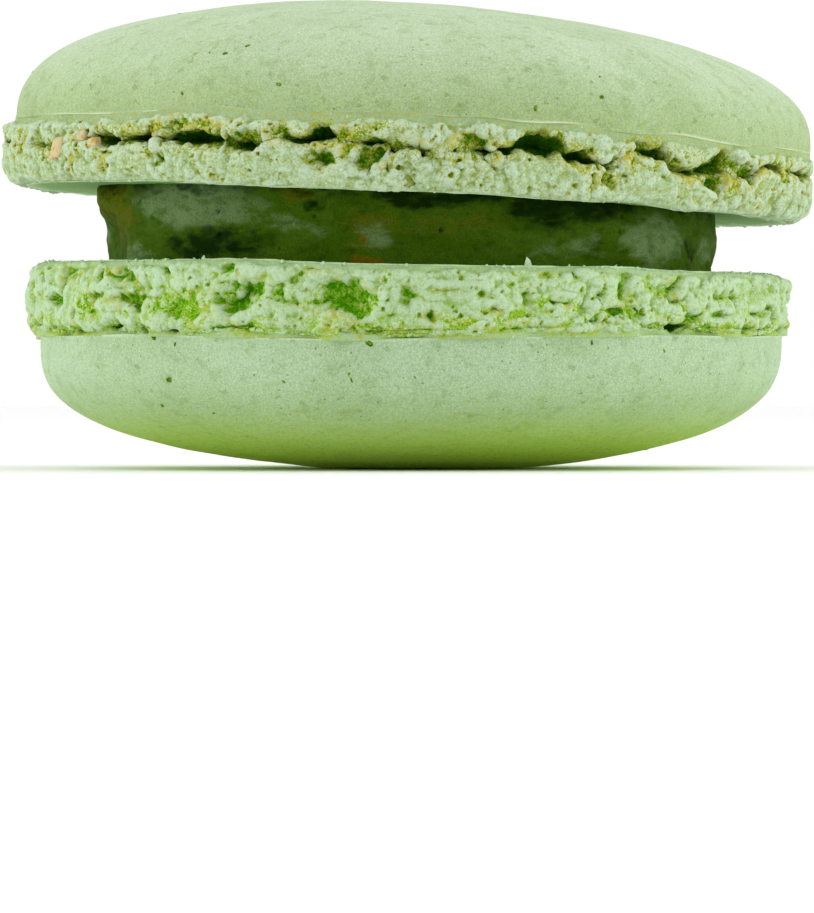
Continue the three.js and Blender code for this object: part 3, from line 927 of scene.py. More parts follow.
def core_ring(shell, name, material):
    """The inside of the foot behind the crack, painted with the depths' dark tone as shade: a frothed
    ring, an oval section carried round.
    """
    bearing = bearings(CORE_COLUMNS)
    turn = bearings(CORE_ROWS)[:, None]
    share = 0.55 - 0.42 * np.cos(turn) + 0 * bearing
    inset = (3.5 - 0.6 * np.sin(turn)) * MM + 0 * bearing
    grid = shell.on_foot(share, inset, bearing)
    grid, _ = froth(grid, shell.form.side, 1.0, shell.form.seed + 90, CORE_LAYERS)
    return grid_object(name, grid, material, closed_rows=True, marks={"torn": np.ones(grid.shape[:2])})


def unevenness(points, seed):
    """How far a dome's skin stands out, in millimetres: three sizes of noise."""
    return layered(points, seed + 51, (0.07, 7), (0.04, 2.6), (0.012, 1.1))


LIP_ROWS = 8
LIP_RADIUS = 0.035 * MM


def dome(shell, name, material):
    """A closed dome: a hidden flat underside, a thin rolled lip, then the shell's dome curve up to
    the pole, with slight unevenness along the normal."""
    sizes, form = shell.sizes, shell.form
    bearing = bearings(DOME_COLUMNS, FRONT_PULL)
    sweep = column(0, 1, DOME_ROWS)[1:] ** 1.8 * np.pi / 2 * 0.992
    skirt = shell.skirt(bearing)
    radius, height = shell.dome_curve(sweep, bearing)
    radius = radius + 0.015 * MM * bell((height - skirt) / MM - 0.04, 0.05)
    turn = column(-1, 0, LIP_ROWS) * np.pi / 2
    lip_radius = sizes.skirt_radius + waves(bearing, PLAN_WAVES) - 0.02 * MM + LIP_RADIUS * np.cos(turn)
    lip_height = skirt + 0.01 * MM + LIP_RADIUS * np.sin(turn)
    inner = (sizes.skirt_radius - 2.5 * MM) * np.ones_like(bearing)[None]
    radius = np.concatenate([inner, lip_radius, radius])
    height = np.concatenate([(skirt - 0.05 * MM)[None], lip_height, height])
    grid = shell.place(radius, height, bearing, sizes.dome_shift)
    outwards = outward(grid, form.side)
    outwards[[0, -1]] = 0
    grid = grid + outwards * (unevenness(grid, form.seed) * MM)[..., None]
    grid[..., 2] = np.maximum(grid[..., 2], 0)
    top = grid[-1].mean(axis=0)
    if form.side < 0:
        top = shell.place(0.0, sizes.foot_height + sizes.dome_height, 0.0, sizes.dome_shift)
    bottom = shell.place(0.0, sizes.foot_height - 0.3 * MM, 0.0, sizes.dome_shift)
    over_edge = (height - skirt) / MM
    # Lip mark: a pale dry edge with a painted highlight, in patches.
    lip = bell(over_edge - 0.01, 0.05) * clumps(grid, 0.75, 0.8, 4, form.seed + 54)
    marks = {"climb": np.clip(over_edge * MM / sizes.dome_height, 0, 1), "lip": lip}
    return grid_object(name, grid, material, poles=np.stack([bottom, top]), marks=marks)


FLAT_THICKNESS = 0.13 * MM


def flat_side(shell, name, material):
    """The thin baked skin of the flat side: a disc with a rounded, slightly ragged rim, dished by the
    eighth power of the share of its radius."""
    form, sizes = shell.form, shell.sizes
    bearing = bearings(FLAT_COLUMNS, FRONT_PULL)
    rim = shell.face_radius(0.0, bearing) + 0.06 * MM
    rim = rim + layered(shell.circle(bearing), form.seed + 61, (0.035, 0.5), (0.05, 1.7)) * MM
    out = column(0.04, 1, FLAT_ROWS) ** 0.8
    turn = column(-1, 1, 7)[1:-1] * np.pi / 2
    radius = np.concatenate([rim * out, rim + 0.05 * MM * np.cos(turn), rim * out[::-1]])
    level = np.concatenate([0 * out, FLAT_THICKNESS * (1 + np.sin(turn)) / 2, FLAT_THICKNESS + 0 * out])
    near_rim = np.minimum(radius / rim, 1) ** 8
    tilt = np.sin(bearing) * np.tan(sizes.flat_lean)
    height = level + (shell.edge(bearing) - tilt * sizes.foot_radius) * near_rim
    height = height + tilt * radius + sizes.dish * (1 - near_rim)
    grid = shell.place(radius, height - 0.02 * MM, bearing, sizes.foot_shift)
    grid[..., 2] += layered(grid, form.seed + 63, (0.03, 1.3), (0.02, 0.5)) * MM
    poles = np.stack([grid[0].mean(axis=0), grid[-1].mean(axis=0)])
    # The rim's lip mark: a pale edge with a painted highlight.
    return grid_object(name, grid, material, poles=poles, marks={"lip": bell((rim - radius) / MM, 0.1)})


CREAM_GAP = 3.6  # millimetres between the shells, for the dents' heights
CREAM_OVERLAP = 0.05 * MM  # how far the cream reaches into each shell


def cream_disc(sizes, upper, lower, material):
    """The cream: rings between the two leaning flat sides, with a rippled, dented side."""
    bearing = bearings(CREAM_COLUMNS, FRONT_PULL)
    part = np.concatenate([[0, 0], np.linspace(0, 1, CREAM_ROWS), [1, 1]])[:, None]
    scale = np.concatenate([[0.3, 0.8], np.ones(CREAM_ROWS), [0.8, 0.3]])[:, None]
    ripple = waves(bearing + 0.25 * part, CREAM_WAVES)
    radius = (sizes.radius + ripple + sizes.bulge * (np.sin(np.pi * part) - 0.5)) * scale
    for degrees, middle, half_width, half_height, depth in CREAM_DENTS:
        along = away_from(bearing, degrees, sizes.radius) / MM
        away = np.hypot(along / half_width, (part - middle) * CREAM_GAP / half_height)
        radius = radius - depth * MM * smooth(1.35 * (1.1 - away)) * (scale == 1)
    x = radius * np.sin(bearing)
    bottom = lower.level - CREAM_OVERLAP - x * np.tan(lower.flat_lean)
    top = upper.level + upper.dish + CREAM_OVERLAP - x * np.tan(upper.lean)
    points = np.stack([x, -radius * np.cos(bearing), (1 - part) * bottom + part * top], -1)
    side = (scale == 1) * smooth(part / 0.04) * smooth((1 - part) / 0.04)
    lumps, _ = cells(points, 2.3 * MM, 301)
    push = 0.14 * (0.55 - lumps) + 0.1 * noise(points, 1.1 * MM, 303) + 0.05 * noise(points, 0.4 * MM, 304)
    # Pits pushed into the side, which the material darkens as painted shade.
    pit_away, pit_owner = cells(points, 1.1 * MM, 306)
    pit = smooth((0.16 - pit_away) / 0.1) * (pit_owner < 0.35)
    push = push - 0.2 * pit
    points = points + outward(points, 1) * (push * side * MM)[..., None]
    marks = {"rise": part + 0 * bearing, "pit": pit * side}
    for kind in ("pale", "dark", "olive", "rust"):
        marks[kind] = cream_patch(points, bearing, part, sizes.radius / MM, kind)
    poles = np.stack([points[0].mean(axis=0), points[-1].mean(axis=0)])
    return grid_object("cream_disc", points, material, poles=poles, marks=marks)


def cream_patch(points, bearing, part, radius, kind):
    """How strongly one tone shows, from 0 to 1: the strongest of its patches, each an ellipse that
    fades out and that noise bends, so that the cream looks smeared sideways."""
    strength = np.zeros(points.shape[:2])
    bend = layered(points, 311, (1.1, 2.2), (0.5, 0.9), (0.25, 0.35))
    for found, degrees, middle, half_width, half_height, full in CREAM_PATCHES:
        if found == kind:
            along = away_from(bearing, degrees, radius) + bend
            away = np.hypot(along / half_width, ((part - middle) * 4 + 0.35 * bend) / half_height)
            strength = np.maximum(strength, full * smooth(0.75 * (1.75 - away)))
    return strength


# Dents in the cream: bearing in degrees, rise from 0 to 1, half width, half height and depth in
# millimetres. A negative depth is a bulge.
CREAM_DENTS = (
    (-86, 0.78, 5.0, 1.3, -0.35),
    (-83, 0.24, 6.5, 1.8, 1.0),
    (-16, 0.78, 0.5, 0.45, 0.35),
    (24, 0.7, 1.6, 0.9, 0.3),
    (78, 0.3, 3.5, 1.5, 0.3),
    (140, 0.55, 4.0, 1.3, 0.4),
    (215, 0.45, 5.0, 1.5, 0.45),
)
# Patches of tone: kind, bearing in degrees, rise, half width, half height in millimetres, strength. Dark
# patches near the top are partly painted shade under the upper shell, and pale ones partly a painted
# sheen.
CREAM_PATCHES = (
    ("olive", -74, 0.65, 3.6, 1.6, 0.9),
    ("pale", -43, 0.8, 4.4, 1.3, 1.0),
    ("dark", -40, 0.25, 3.4, 0.8, 0.9),
    ("pale", -62, 0.08, 2.0, 0.5, 0.8),
    ("pale", -24, 0.5, 3.4, 0.6, 0.55),
    ("olive", -18, 0.95, 0.9, 0.4, 1.0),
    ("rust", -7.5, 0.05, 0.9, 0.5, 1.0),
    ("dark", -16.5, 0.8, 0.35, 0.3, 0.9),
    ("olive", -5, 0.5, 2.2, 1.0, 0.7),
    ("pale", -3, 0.42, 1.5, 0.5, 0.7),
    ("rust", -6.5, 0.38, 0.35, 0.22, 1.0),
    ("dark", 4, 0.95, 3.6, 0.55, 1.0),
    ("olive", 10, 0.6, 2.2, 0.6, 0.5),
    ("dark", 27, 0.85, 3.2, 0.9, 1.0),
    ("dark", 41, 0.95, 2.0, 0.6, 1.0),
    ("pale", 30, 0.3, 2.2, 0.6, 0.5),
    ("pale", 52, 0.5, 2.2, 1.3, 0.9),
    ("dark", 66, 0.3, 1.6, 0.8, 0.6),
    ("pale", 78, 0.4, 2.0, 0.8, 0.6),
    ("dark", 100, 0.8, 4.0, 0.9, 0.9),
    ("pale", 125, 0.4, 3.5, 0.9, 0.8),
    ("olive", 150, 0.6, 3.0, 0.8, 0.8),
    ("dark", 170, 0.3, 3.0, 0.7, 0.8),
    ("pale", 190, 0.7, 3.8, 0.9, 0.9),
    ("dark", 216, 0.9, 3.4, 0.6, 1.0),
    ("olive", 235, 0.3, 3.0, 0.7, 0.7),
    ("pale", 255, 0.55, 3.0, 1.1, 0.8),
)


# ---------------------------------------------------------------- small loose pieces

# A grain is an upper tip and a ring of five points, and the same turned over. Its faces fan out from
# each tip and zigzag between the rings.
GRAIN_TOP = np.array(
    (
        (0, 0, 1),
        (0.9, 0, 0.4),
        (0.28, 0.85, 0.4),
        (-0.72, 0.53, 0.4),
        (-0.72, -0.53, 0.4),
        (0.28, -0.85, 0.4),
    )
)
GRAIN_POINTS = np.vstack([GRAIN_TOP, -GRAIN_TOP])
GRAIN_FACES = [(0, 1 + k, 1 + (k + 1) % 5) for k in range(5)]
GRAIN_FACES += [(1 + k, 7 + (k + 3) % 5, 1 + (k + 1) % 5) for k in range(5)]
GRAIN_FACES += [(7 + (k + 3) % 5, 7 + (k + 4) % 5, 1 + (k + 1) % 5) for k in range(5)]
GRAIN_FACES += [(6, 7 + (k + 1) % 5, 7 + k) for k in range(5)]


def turned(first, second, angles):
    """Two coordinates turned by one angle for each grain."""
    c, s = np.cos(angles)[:, None], np.sin(angles)[:, None]
    return first * c - second * s, first * s + second * c


def grains(places, sizes, seed):
    """One twelve-pointed grain at each place, stretched, turned and dented at random."""
    i = np.arange(len(places))
    row, corner = i[:, None] + np.zeros(12, int), np.arange(12) + 0 * i[:, None]
    stretch = np.stack([0.6 + 0.8 * hashed(i, i + 1, i, seed + n) for n in range(3)], -1)
    spin = TURN * hashed(i, i, i + 2, seed + 5)
    tip = np.pi * hashed(i, i + 4, i, seed + 6)
    dent = 0.75 + 0.5 * hashed(row, corner, corner + row, seed + 7)
    points = GRAIN_POINTS[None] * dent[..., None] * stretch[:, None] * sizes[:, None, None]
    y, z = turned(points[..., 1], points[..., 2], tip)
    x, y = turned(points[..., 0], y, spin)
    points = np.stack([x, y, z], -1) + places[:, None]
    faces = np.array(GRAIN_FACES)[None] + 12 * i[:, None, None]
    return points.reshape(-1, 3), faces.reshape(-1, 3).tolist()


def crumbs(shell, count, name, material):
    """Loose crumbs along the flat side's rim and on the foot's face, away from the crack: more small
    ones than large."""
    where, size, kind, rise = draws(np.arange(count), 13, 1, shell.form.seed + 300, 4)
    bearing = TURN * where
    crack = Crack(shell, bearing)
    is_rim = kind < 0.45
    share = np.where(is_rim, 0.02 * rise, 0.12 + 0.8 * rise)
    _, inside = pits(shell, crack, shell.on_foot(share, 0 * share, bearing)[None], share[None], bearing)
    kept = is_rim | ((inside[0] < -0.15) & (np.abs(share - crack.line) > 0.12))
    sizes = (0.04 + 0.09 * size**3) * MM
    places = shell.on_foot(share, np.where(is_rim, -0.08, -0.03) * MM, bearing)
    return mesh_object(name, *grains(places[kept], sizes[kept], shell.form.seed + 310), material)


def crumb_flakes(shell, material):
    """Thin flakes that stand on the lower shell's rim: a tapered triangle with a little thickness."""
    points, faces = [], []
    for n, (degrees, height, width, tip) in enumerate(RIM_FLAKES):
        bearing = np.radians(degrees)
        foot = shell.on_foot(0.0, 0.25 * MM, bearing)
        along = np.array([np.cos(bearing), np.sin(bearing), 0])
        out = np.array([np.sin(bearing), -np.cos(bearing), 0])
        up = np.array([0, 0, 1.0])
        corners = [-0.5 * width * along, 0.5 * width * along, 0.2 * width * along + 0.7 * height * up]
        corners += [(tip * width) * along + height * up, -0.35 * width * along + 0.55 * height * up]
        for thickness in (0.05, -0.06):
            points += [foot + corner * MM + thickness * MM * out - 0.1 * MM * up for corner in corners]
        front, back = 10 * n, 10 * n + 5
        faces += [tuple(front + k for k in range(5)), tuple(back + 4 - k for k in range(5))]
        faces += [(front + (k + 1) % 5, front + k, back + k, back + (k + 1) % 5) for k in range(5)]
    return mesh_object("lower_rim_flakes", np.array(points), faces, material, is_smooth=False)


# Flakes on the lower rim: bearing in degrees, height, width and where the tip leans, in millimetres.
RIM_FLAKES = (
    (-32.3, 0.32, 0.3, 0.1),
    (-34.0, 0.2, 0.25, -0.2),
    (18.0, 0.62, 0.5, -0.2),
    (24.6, 0.26, 0.2, 0.1),
    (32.6, 0.24, 0.35, 0.3),
    (33.8, 0.18, 0.3, -0.1),
    (95.0, 0.3, 0.35, 0.2),
    (150.0, 0.4, 0.4, -0.1),
    (205.0, 0.25, 0.3, 0.2),
    (262.0, 0.35, 0.4, 0.0),
)

# Nut pieces in the upper foot: bearing in degrees, share, then half sizes in millimetres.
NUT_PIECES = (
    (-57.6, 0.47, 0.62, 0.35, 0.6),
    (-51.4, 0.66, 0.36, 0.3, 0.28),
    (-48.8, 0.56, 0.36, 0.3, 0.28),
    (98.0, 0.5, 0.4, 0.3, 0.3),
    (156.0, 0.35, 0.35, 0.3, 0.45),
    (228.0, 0.62, 0.3, 0.3, 0.25),
)


NUT_ROWS, NUT_COLUMNS = 18, 26


def nut_pieces(shell, material):
    """Chopped nut in the crumb: rounded boxes, each a ball drawn out towards its corners, chipped
    by noise."""
    points, faces = [], []
    up = column(0, 1, NUT_ROWS)[1:-1] * np.pi
    around = bearings(NUT_COLUMNS)
    ball = (np.sin(up) * np.cos(around), np.sin(up) * np.sin(around), np.cos(up))
    ball = np.stack(np.broadcast_arrays(*ball), -1)
    ball = np.sign(ball) * np.abs(ball) ** 0.5
    rows, columns, _ = ball.shape
    for n, (degrees, share, half_along, half_out, half_up) in enumerate(NUT_PIECES):
        bearing = np.radians(degrees)
        middle = shell.on_foot(share, -0.04 * MM, bearing)
        along = np.array([np.cos(bearing), np.sin(bearing), 0.12])
        out = np.array([np.sin(bearing), -np.cos(bearing), 0.1])
        rise = np.array([0.1, 0.05, 1.0])
        local = ball * np.array([half_along, half_out, half_up]) * MM
        local = local * (1 + layered(local + n * MM, 401, (0.28, 0.4), (0.14, 0.16)))[..., None]
        grid = middle + local[..., :1] * along + local[..., 1:2] * out + local[..., 2:] * rise
        ends = middle + np.array([[1], [-1]]) * half_up * MM * rise
        index = np.arange(rows * columns).reshape(rows, columns) + len(points)
        lower, upper = index[:-1], index[1:]
        quads = np.stack([lower, upper, np.roll(upper, -1, 1), np.roll(lower, -1, 1)], -1).reshape(-1, 4)
        first, last, pole = index[0], index[-1], index[-1, -1] + 1
        faces += quads.tolist()
        faces += [(pole, int(a), int(b)) for a, b in zip(first, np.roll(first, -1))]
        faces += [(pole + 1, int(b), int(a)) for a, b in zip(last, np.roll(last, -1))]
        points += grid.reshape(-1, 3).tolist() + ends.tolist()
    return mesh_object("nut_pieces", np.array(points), faces, material)


PINHOLE_POINTS = 10


def pinholes(shell, spots, count, name, material):
    """Small burst bubbles in the dome: shallow lens-shaped scabs whose outline wanders, a hair
    proud of the skin, at the listed places and at random ones."""
    form = shell.form
    i = np.arange(count)
    random_bearing = 80 + 200 * hashed(i, i, i, form.seed + 400)
    random_sweep = 0.2 + 0.85 * hashed(i, i + 2, i, form.seed + 401) ** 0.8
    random_size = 0.06 + 0.1 * hashed(i, i + 5, i, form.seed + 402)
    table = np.vstack([np.array(spots), np.stack([random_bearing, random_sweep, random_size], -1)])
    points, faces = [], []
    around = bearings(PINHOLE_POINTS)
    for n, (degrees, sweep, size) in enumerate(table):
        bearing = np.radians(degrees)
        here = shell.on_dome(sweep, bearing)
        right = shell.on_dome(sweep, bearing + 0.01) - here
        up = shell.on_dome(sweep + 0.01, bearing) - here
        right, up = right / np.linalg.norm(right), up / np.linalg.norm(up)
        normal = np.cross(right, up) * form.side
        here = here + (unevenness(here[None], form.seed)[0] + 0.012) * MM * normal
        outline = size * MM * (1 + 0.3 * np.sin(2 * around + n) + 0.12 * np.sin(3 * around + 2.3 * n))
        spokes = np.cos(around)[:, None] * right + 1.15 * np.sin(around)[:, None] * up
        start = (PINHOLE_POINTS + 2) * n
        front, back = start + PINHOLE_POINTS, start + PINHOLE_POINTS + 1
        points += (here + outline[:, None] * spokes).tolist()
        points += [(here + 0.02 * MM * normal).tolist(), (here - 0.1 * MM * normal).tolist()]
        for k in range(PINHOLE_POINTS):
            one, next_one = start + k, start + (k + 1) % PINHOLE_POINTS
            faces += [(one, next_one, front), (next_one, one, back)]
    return mesh_object(name, np.array(points), faces, material)


# ---------------------------------------------------------------- materials


class Tree:
    """Adds nodes to a material or a node group. Each call gives one of the new node's outputs."""

    def __init__(self, tree):
        self.tree = tree

    def give(self, socket, value):
        """Links the socket to another node's output, or sets its constant."""
        if isinstance(value, bpy.types.NodeSocket):
            self.tree.links.new(value, socket)
        else:
            socket.default_value = value

    def add(self, kind, inputs=(), output=0, **settings):
        """A node of a kind with these settings. Its inputs go by label or number."""
        node = self.tree.nodes.new(kind)
        for label, value in settings.items():
            setattr(node, label, value)
        for key, value in dict(inputs).items():
            self.give(node.inputs[key], value)
        return node.outputs[output]

    def mix(self, factor, first, second, blend="MIX"):
        """One colour over another, by a factor from 0 to 1."""
        first, second = (
            value if isinstance(value, bpy.types.NodeSocket) else (*value, 1) for value in (first, second)
        )
        inputs = {0: factor, 6: first, 7: second}
        return self.add("ShaderNodeMix", inputs, output=2, data_type="RGBA", blend_type=blend)

    def math(self, operation, *values, clamp=False):
        """An operation on numbers."""
        return self.add("ShaderNodeMath", enumerate(values), operation=operation, use_clamp=clamp)

    def times(self, first, second):
        return self.math("MULTIPLY", first, second)

    def plus(self, first, second):
        return self.math("ADD", first, second)

    def minus(self, first, second, clamp=False):
        return self.math("SUBTRACT", first, second, clamp=clamp)

    def ramp(self, value, low, high):
        """0 below low, 1 above high, a smooth step between."""
        inputs = {0: value, 1: low, 2: high, 3: 0.0, 4: 1.0}
        return self.add("ShaderNodeMapRange", inputs, clamp=True, interpolation_type="SMOOTHSTEP")

    def mark(self, label):
        """One of the mesh's marks, or 0 where it has none of that label."""
        return self.add("ShaderNodeAttribute", output=2, attribute_name=label)

    def vector(self, operation, first, second):
        """An operation on two vectors."""
        return self.add("ShaderNodeVectorMath", {0: first, 1: second}, operation=operation)

    def noise(self, place, scale, detail, output=0, **inputs):
        """Smooth noise of 1 / scale in size, as a value or, by output 1, as a colour."""
        inputs = {"Vector": place, "Scale": scale, "Detail": detail, **inputs}
        return self.add("ShaderNodeTexNoise", inputs, output=output)

    def voronoi(self, place, scale, output=0):
        """Distance to the nearest scattered point or, by output 1, a random colour of its own."""
        inputs = {"Vector": place, "Scale": scale, "Randomness": 1.0}
        return self.add("ShaderNodeTexVoronoi", inputs, output=output)


class Group(Tree):
    """A new shader node group that takes a place and floats, and gives floats."""

    def __init__(self, name, outputs, **inputs):
        super().__init__(bpy.data.node_groups.new(name, "ShaderNodeTree"))
        interface = self.tree.interface
        interface.new_socket("Vector", in_out="INPUT", socket_type="NodeSocketVector")
        for label, default in inputs.items():
            socket = interface.new_socket(label, in_out="INPUT", socket_type="NodeSocketFloat")
            socket.default_value = default
        for label in outputs:
            interface.new_socket(label, in_out="OUTPUT", socket_type="NodeSocketFloat")
        self.given = self.tree.nodes.new("NodeGroupInput").outputs
        self.out = self.tree.nodes.new("NodeGroupOutput").inputs


def grain_group():
    """Baked meringue's fine grain: round granules and finer noise, as a height and a light-dark value."""
    group = Group("Fine grain", ("Height", "Value"), Size=0.2 * MM, Contrast=1.0)
    place = group.given["Vector"]
    scale = group.math("DIVIDE", 1.0, group.given["Size"])
    wobble = group.times(group.noise(place, scale, 2.0), 0.5)
    granules = group.times(group.minus(1.0, group.voronoi(place, scale)), 0.2)
    fine = group.times(group.noise(place, group.times(scale, 2.3), 1.0), 0.35)
    height = group.plus(granules, group.plus(wobble, fine))
    group.give(group.out["Height"], height)
    stretched = group.times(group.minus(height, 0.52), group.given["Contrast"])
    group.give(group.out["Value"], group.ramp(stretched, -0.12, 0.12))


def speck_group():
    """Sparse specks: a dot round a few of the points scattered one to a cell."""
    group = Group("Sparse specks", ("Mask",), Cell=1.2 * MM, Radius=0.1, Share=0.4)
    place = group.given["Vector"]
    scale = group.math("DIVIDE", 1.0, group.given["Cell"])
    distance = group.voronoi(place, scale)
    chance = group.add("ShaderNodeSeparateColor", {0: group.voronoi(place, scale, output=1)})
    radius = group.times(group.given["Radius"], group.plus(0.5, chance))
    dot = group.ramp(group.minus(radius, distance), 0.0, 0.04)
    picked = group.math("LESS_THAN", chance, group.given["Share"])
    group.give(group.out["Mask"], group.times(dot, picked))


def patch_group():
    """Soft patches of tone: one noise, cut to the share of the surface that it covers."""
    group = Group("Tone patches", ("Mask",), Size=3 * MM, From=0.5, To=0.65)
    given = group.given
    scale = group.math("DIVIDE", 1.0, given["Size"])
    value = group.noise(given["Vector"], scale, 2.5, Distortion=0.4)
    group.give(group.out["Mask"], group.ramp(value, given["From"], given["To"]))


# Fixed tones. A tint multiplies what lies under it, and anything else covers it.
WHITE = (1.0, 1.0, 1.0)
SKIN_GRAIN_TINT = (0.74, 0.75, 0.72)
SKIN_DUST_TINT = (0.87, 0.88, 0.86)
SKIN_WIDE_TINT = (0.80, 0.84, 0.70)
SKIN_BLOTCH_TINT = (0.66, 0.68, 0.50)
SKIN_CLOUD_TINT = (0.83, 0.86, 0.74)
SKIN_WARM = (0.46, 0.52, 0.09)
SKIN_DOT = (0.10, 0.17, 0.03)
SKIN_TEAL = (0.16, 0.36, 0.20)
CRUMB_LIGHT = (0.66, 0.79, 0.62)
CREAM_SMEAR = (0.082, 0.155, 0.012)
CREAM_RUST = (0.17, 0.115, 0.003)
CREAM_NUT = (0.32, 0.15, 0.01)
CREAM_GRIT_TINT, CREAM_GRIT_LIGHT = (0.72, 0.76, 0.66), (1.15, 1.15, 1.15)
# Burst bubbles: the crumb's olive darkened as painted shade of a hole.
BUBBLE_DARK, BUBBLE_LIGHT = (0.05, 0.16, 0.003), (0.20, 0.30, 0.006)
FLOOR_TOOTH = (0.94, 0.94, 0.94)
SOFT_REACH = (0.9, 1.0, 0.5)  # how far each colour of light spreads below the surface, times the scale
SOFT_SCALE = 0.5 * MM


class Surface(Tree):
    """A new material, with the shared groups at hand. Its sizes are in millimetres."""

    def __init__(self, name):
        material = bpy.data.materials.new(name)
        material.use_nodes = True
        super().__init__(material.node_tree)
        self.shader = self.tree.nodes["Principled BSDF"].inputs
        self.place = self.add("ShaderNodeTexCoord", output=3)

    def group(self, name, output, place, **inputs):
        """One output of a shared group, at a place or else at the object's own coordinates."""
        node = self.tree.nodes.new("ShaderNodeGroup")
        node.node_tree = bpy.data.node_groups[name]
        self.give(node.inputs["Vector"], place or self.place)
        for label, value in inputs.items():
            self.give(node.inputs[label], value)
        return node.outputs[output]

    def grain(self, size, contrast=1.0, output="Value"):
        """The shared fine grain."""
        return self.group("Fine grain", output, None, Size=size * MM, Contrast=contrast)

    def specks(self, cell, radius, share, place=None):
        """The shared sparse specks."""
        return self.group("Sparse specks", "Mask", place, Cell=cell * MM, Radius=radius, Share=share)

    def patches(self, size, start, stop, place=None):
        """The shared tone patches."""
        return self.group("Tone patches", "Mask", place, Size=size * MM, From=start, To=stop)

    def tint(self, tone, mask, strength, shade):
        """Multiplies the tone by a shade where the mask is 1."""
        return self.mix(self.times(mask, strength), tone, shade, "MULTIPLY")

    def cover(self, tone, mask, strength, shade):
        """Covers the tone with a shade where the mask is 1."""
        return self.mix(self.times(mask, strength), tone, shade)

    def grainy(self, tone, grain, shade, light=WHITE):
        """Multiplies the tone by a shade between the grains and by a light on them."""
        return self.mix(1.0, tone, self.mix(grain, shade, light), "MULTIPLY")

    def finish(self, tone, roughness, bump, strength, distance, soft=0.0, shine=0.02):
        """Sets the shader: its colour, how dull it is, its relief, how soft and how shiny it is."""
        self.give(self.shader["Base Color"], tone)
        self.give(self.shader["Roughness"], roughness)
        self.give(self.shader["Specular IOR Level"], shine)
        if soft:
            self.give(self.shader["Subsurface Weight"], soft)
            self.give(self.shader["Subsurface Radius"], SOFT_REACH)
            self.give(self.shader["Subsurface Scale"], SOFT_SCALE)
        inputs = {"Strength": strength, "Distance": distance * MM, "Height": bump}
        self.give(self.shader["Normal"], self.add("ShaderNodeBump", inputs))


def skin_material(name, colours, main, under=None):
    """Smooth baked dome: pale green, mottled and speckled, with a fine grain and a pale lip that carries a
    painted highlight. Near the foot a tint is part toast and part painted shade. On the lower dome,
    painted shade and green bounce light grow towards its bottom, which is painted a bounce-lit green.
    """
    surface = Surface(name)
    climb = surface.mark("climb")
    tone = surface.grainy(main, surface.grain(0.075, 1.4), SKIN_GRAIN_TINT)
    tone = surface.grainy(tone, surface.grain(0.16, 1.2), SKIN_DUST_TINT)
    tone = surface.tint(tone, surface.patches(5, 0.4, 0.65), 0.4, SKIN_WIDE_TINT)
    wander = surface.noise(surface.place, 1 / (0.4 * MM), 1.0, output=1)
    wander = surface.vector("SUBTRACT", wander, (0.5, 0.5, 0.5))
    wander = surface.add("ShaderNodeVectorMath", {0: wander, "Scale": 0.6 * MM}, operation="SCALE")
    bent = surface.vector("ADD", surface.place, wander)
    drawn = surface.vector("MULTIPLY", bent, (0.6, 0.6, 1.0))
    tone = surface.tint(tone, surface.specks(0.7, 0.16, 0.95, drawn), 0.65, SKIN_BLOTCH_TINT)
    tone = surface.tint(tone, surface.patches(0.9, 0.52, 0.68), 0.8, SKIN_CLOUD_TINT)
    # Near the foot: a tint that is part toast and part painted shade.
    low = surface.minus(1.0, surface.ramp(climb, 0.0, 0.65))
    if under:
        tone = surface.tint(tone, low, 0.35, colours.near_foot_toast_and_shade)
        # Painted shade and green bounce light towards the lower dome's bottom, then its painted bounce-lit
        # bottom.
        tone = surface.mix(surface.ramp(climb, 0.15, 0.7), tone, colours.painted_shade_and_bounce_under, "MULTIPLY")
        tone = surface.mix(surface.ramp(climb, 0.5, 1.0), tone, under)
        near_lip = surface.times(surface.ramp(climb, 0.3, 0.65), 0.65)
    else:
        tone = surface.mix(low, tone, colours.near_foot_toast_and_shade, "MULTIPLY")
        near_lip = surface.minus(1.0, surface.ramp(climb, 0.02, 0.25))
        near_lip = surface.plus(surface.times(near_lip, 0.28), 0.05)
    tone = surface.cover(tone, surface.specks(0.24, 0.42, 0.7, bent), near_lip, SKIN_WARM)
    tone = surface.cover(tone, surface.specks(0.5, 0.13, 0.6), 0.8, SKIN_DOT)
    drawn = surface.vector("MULTIPLY", surface.place, (0.35, 0.35, 1.0))
    tone = surface.cover(tone, surface.specks(1.5, 0.09, 0.5, drawn), 0.45, SKIN_TEAL)
    # Pale lip with a painted highlight.
    tone = surface.cover(tone, surface.mark("lip"), 0.6, colours.lip_tone_and_highlight)
    surface.finish(tone, 0.75, surface.grain(0.14, output="Height"), 0.6, 0.05, soft=0.1, shine=0.22)


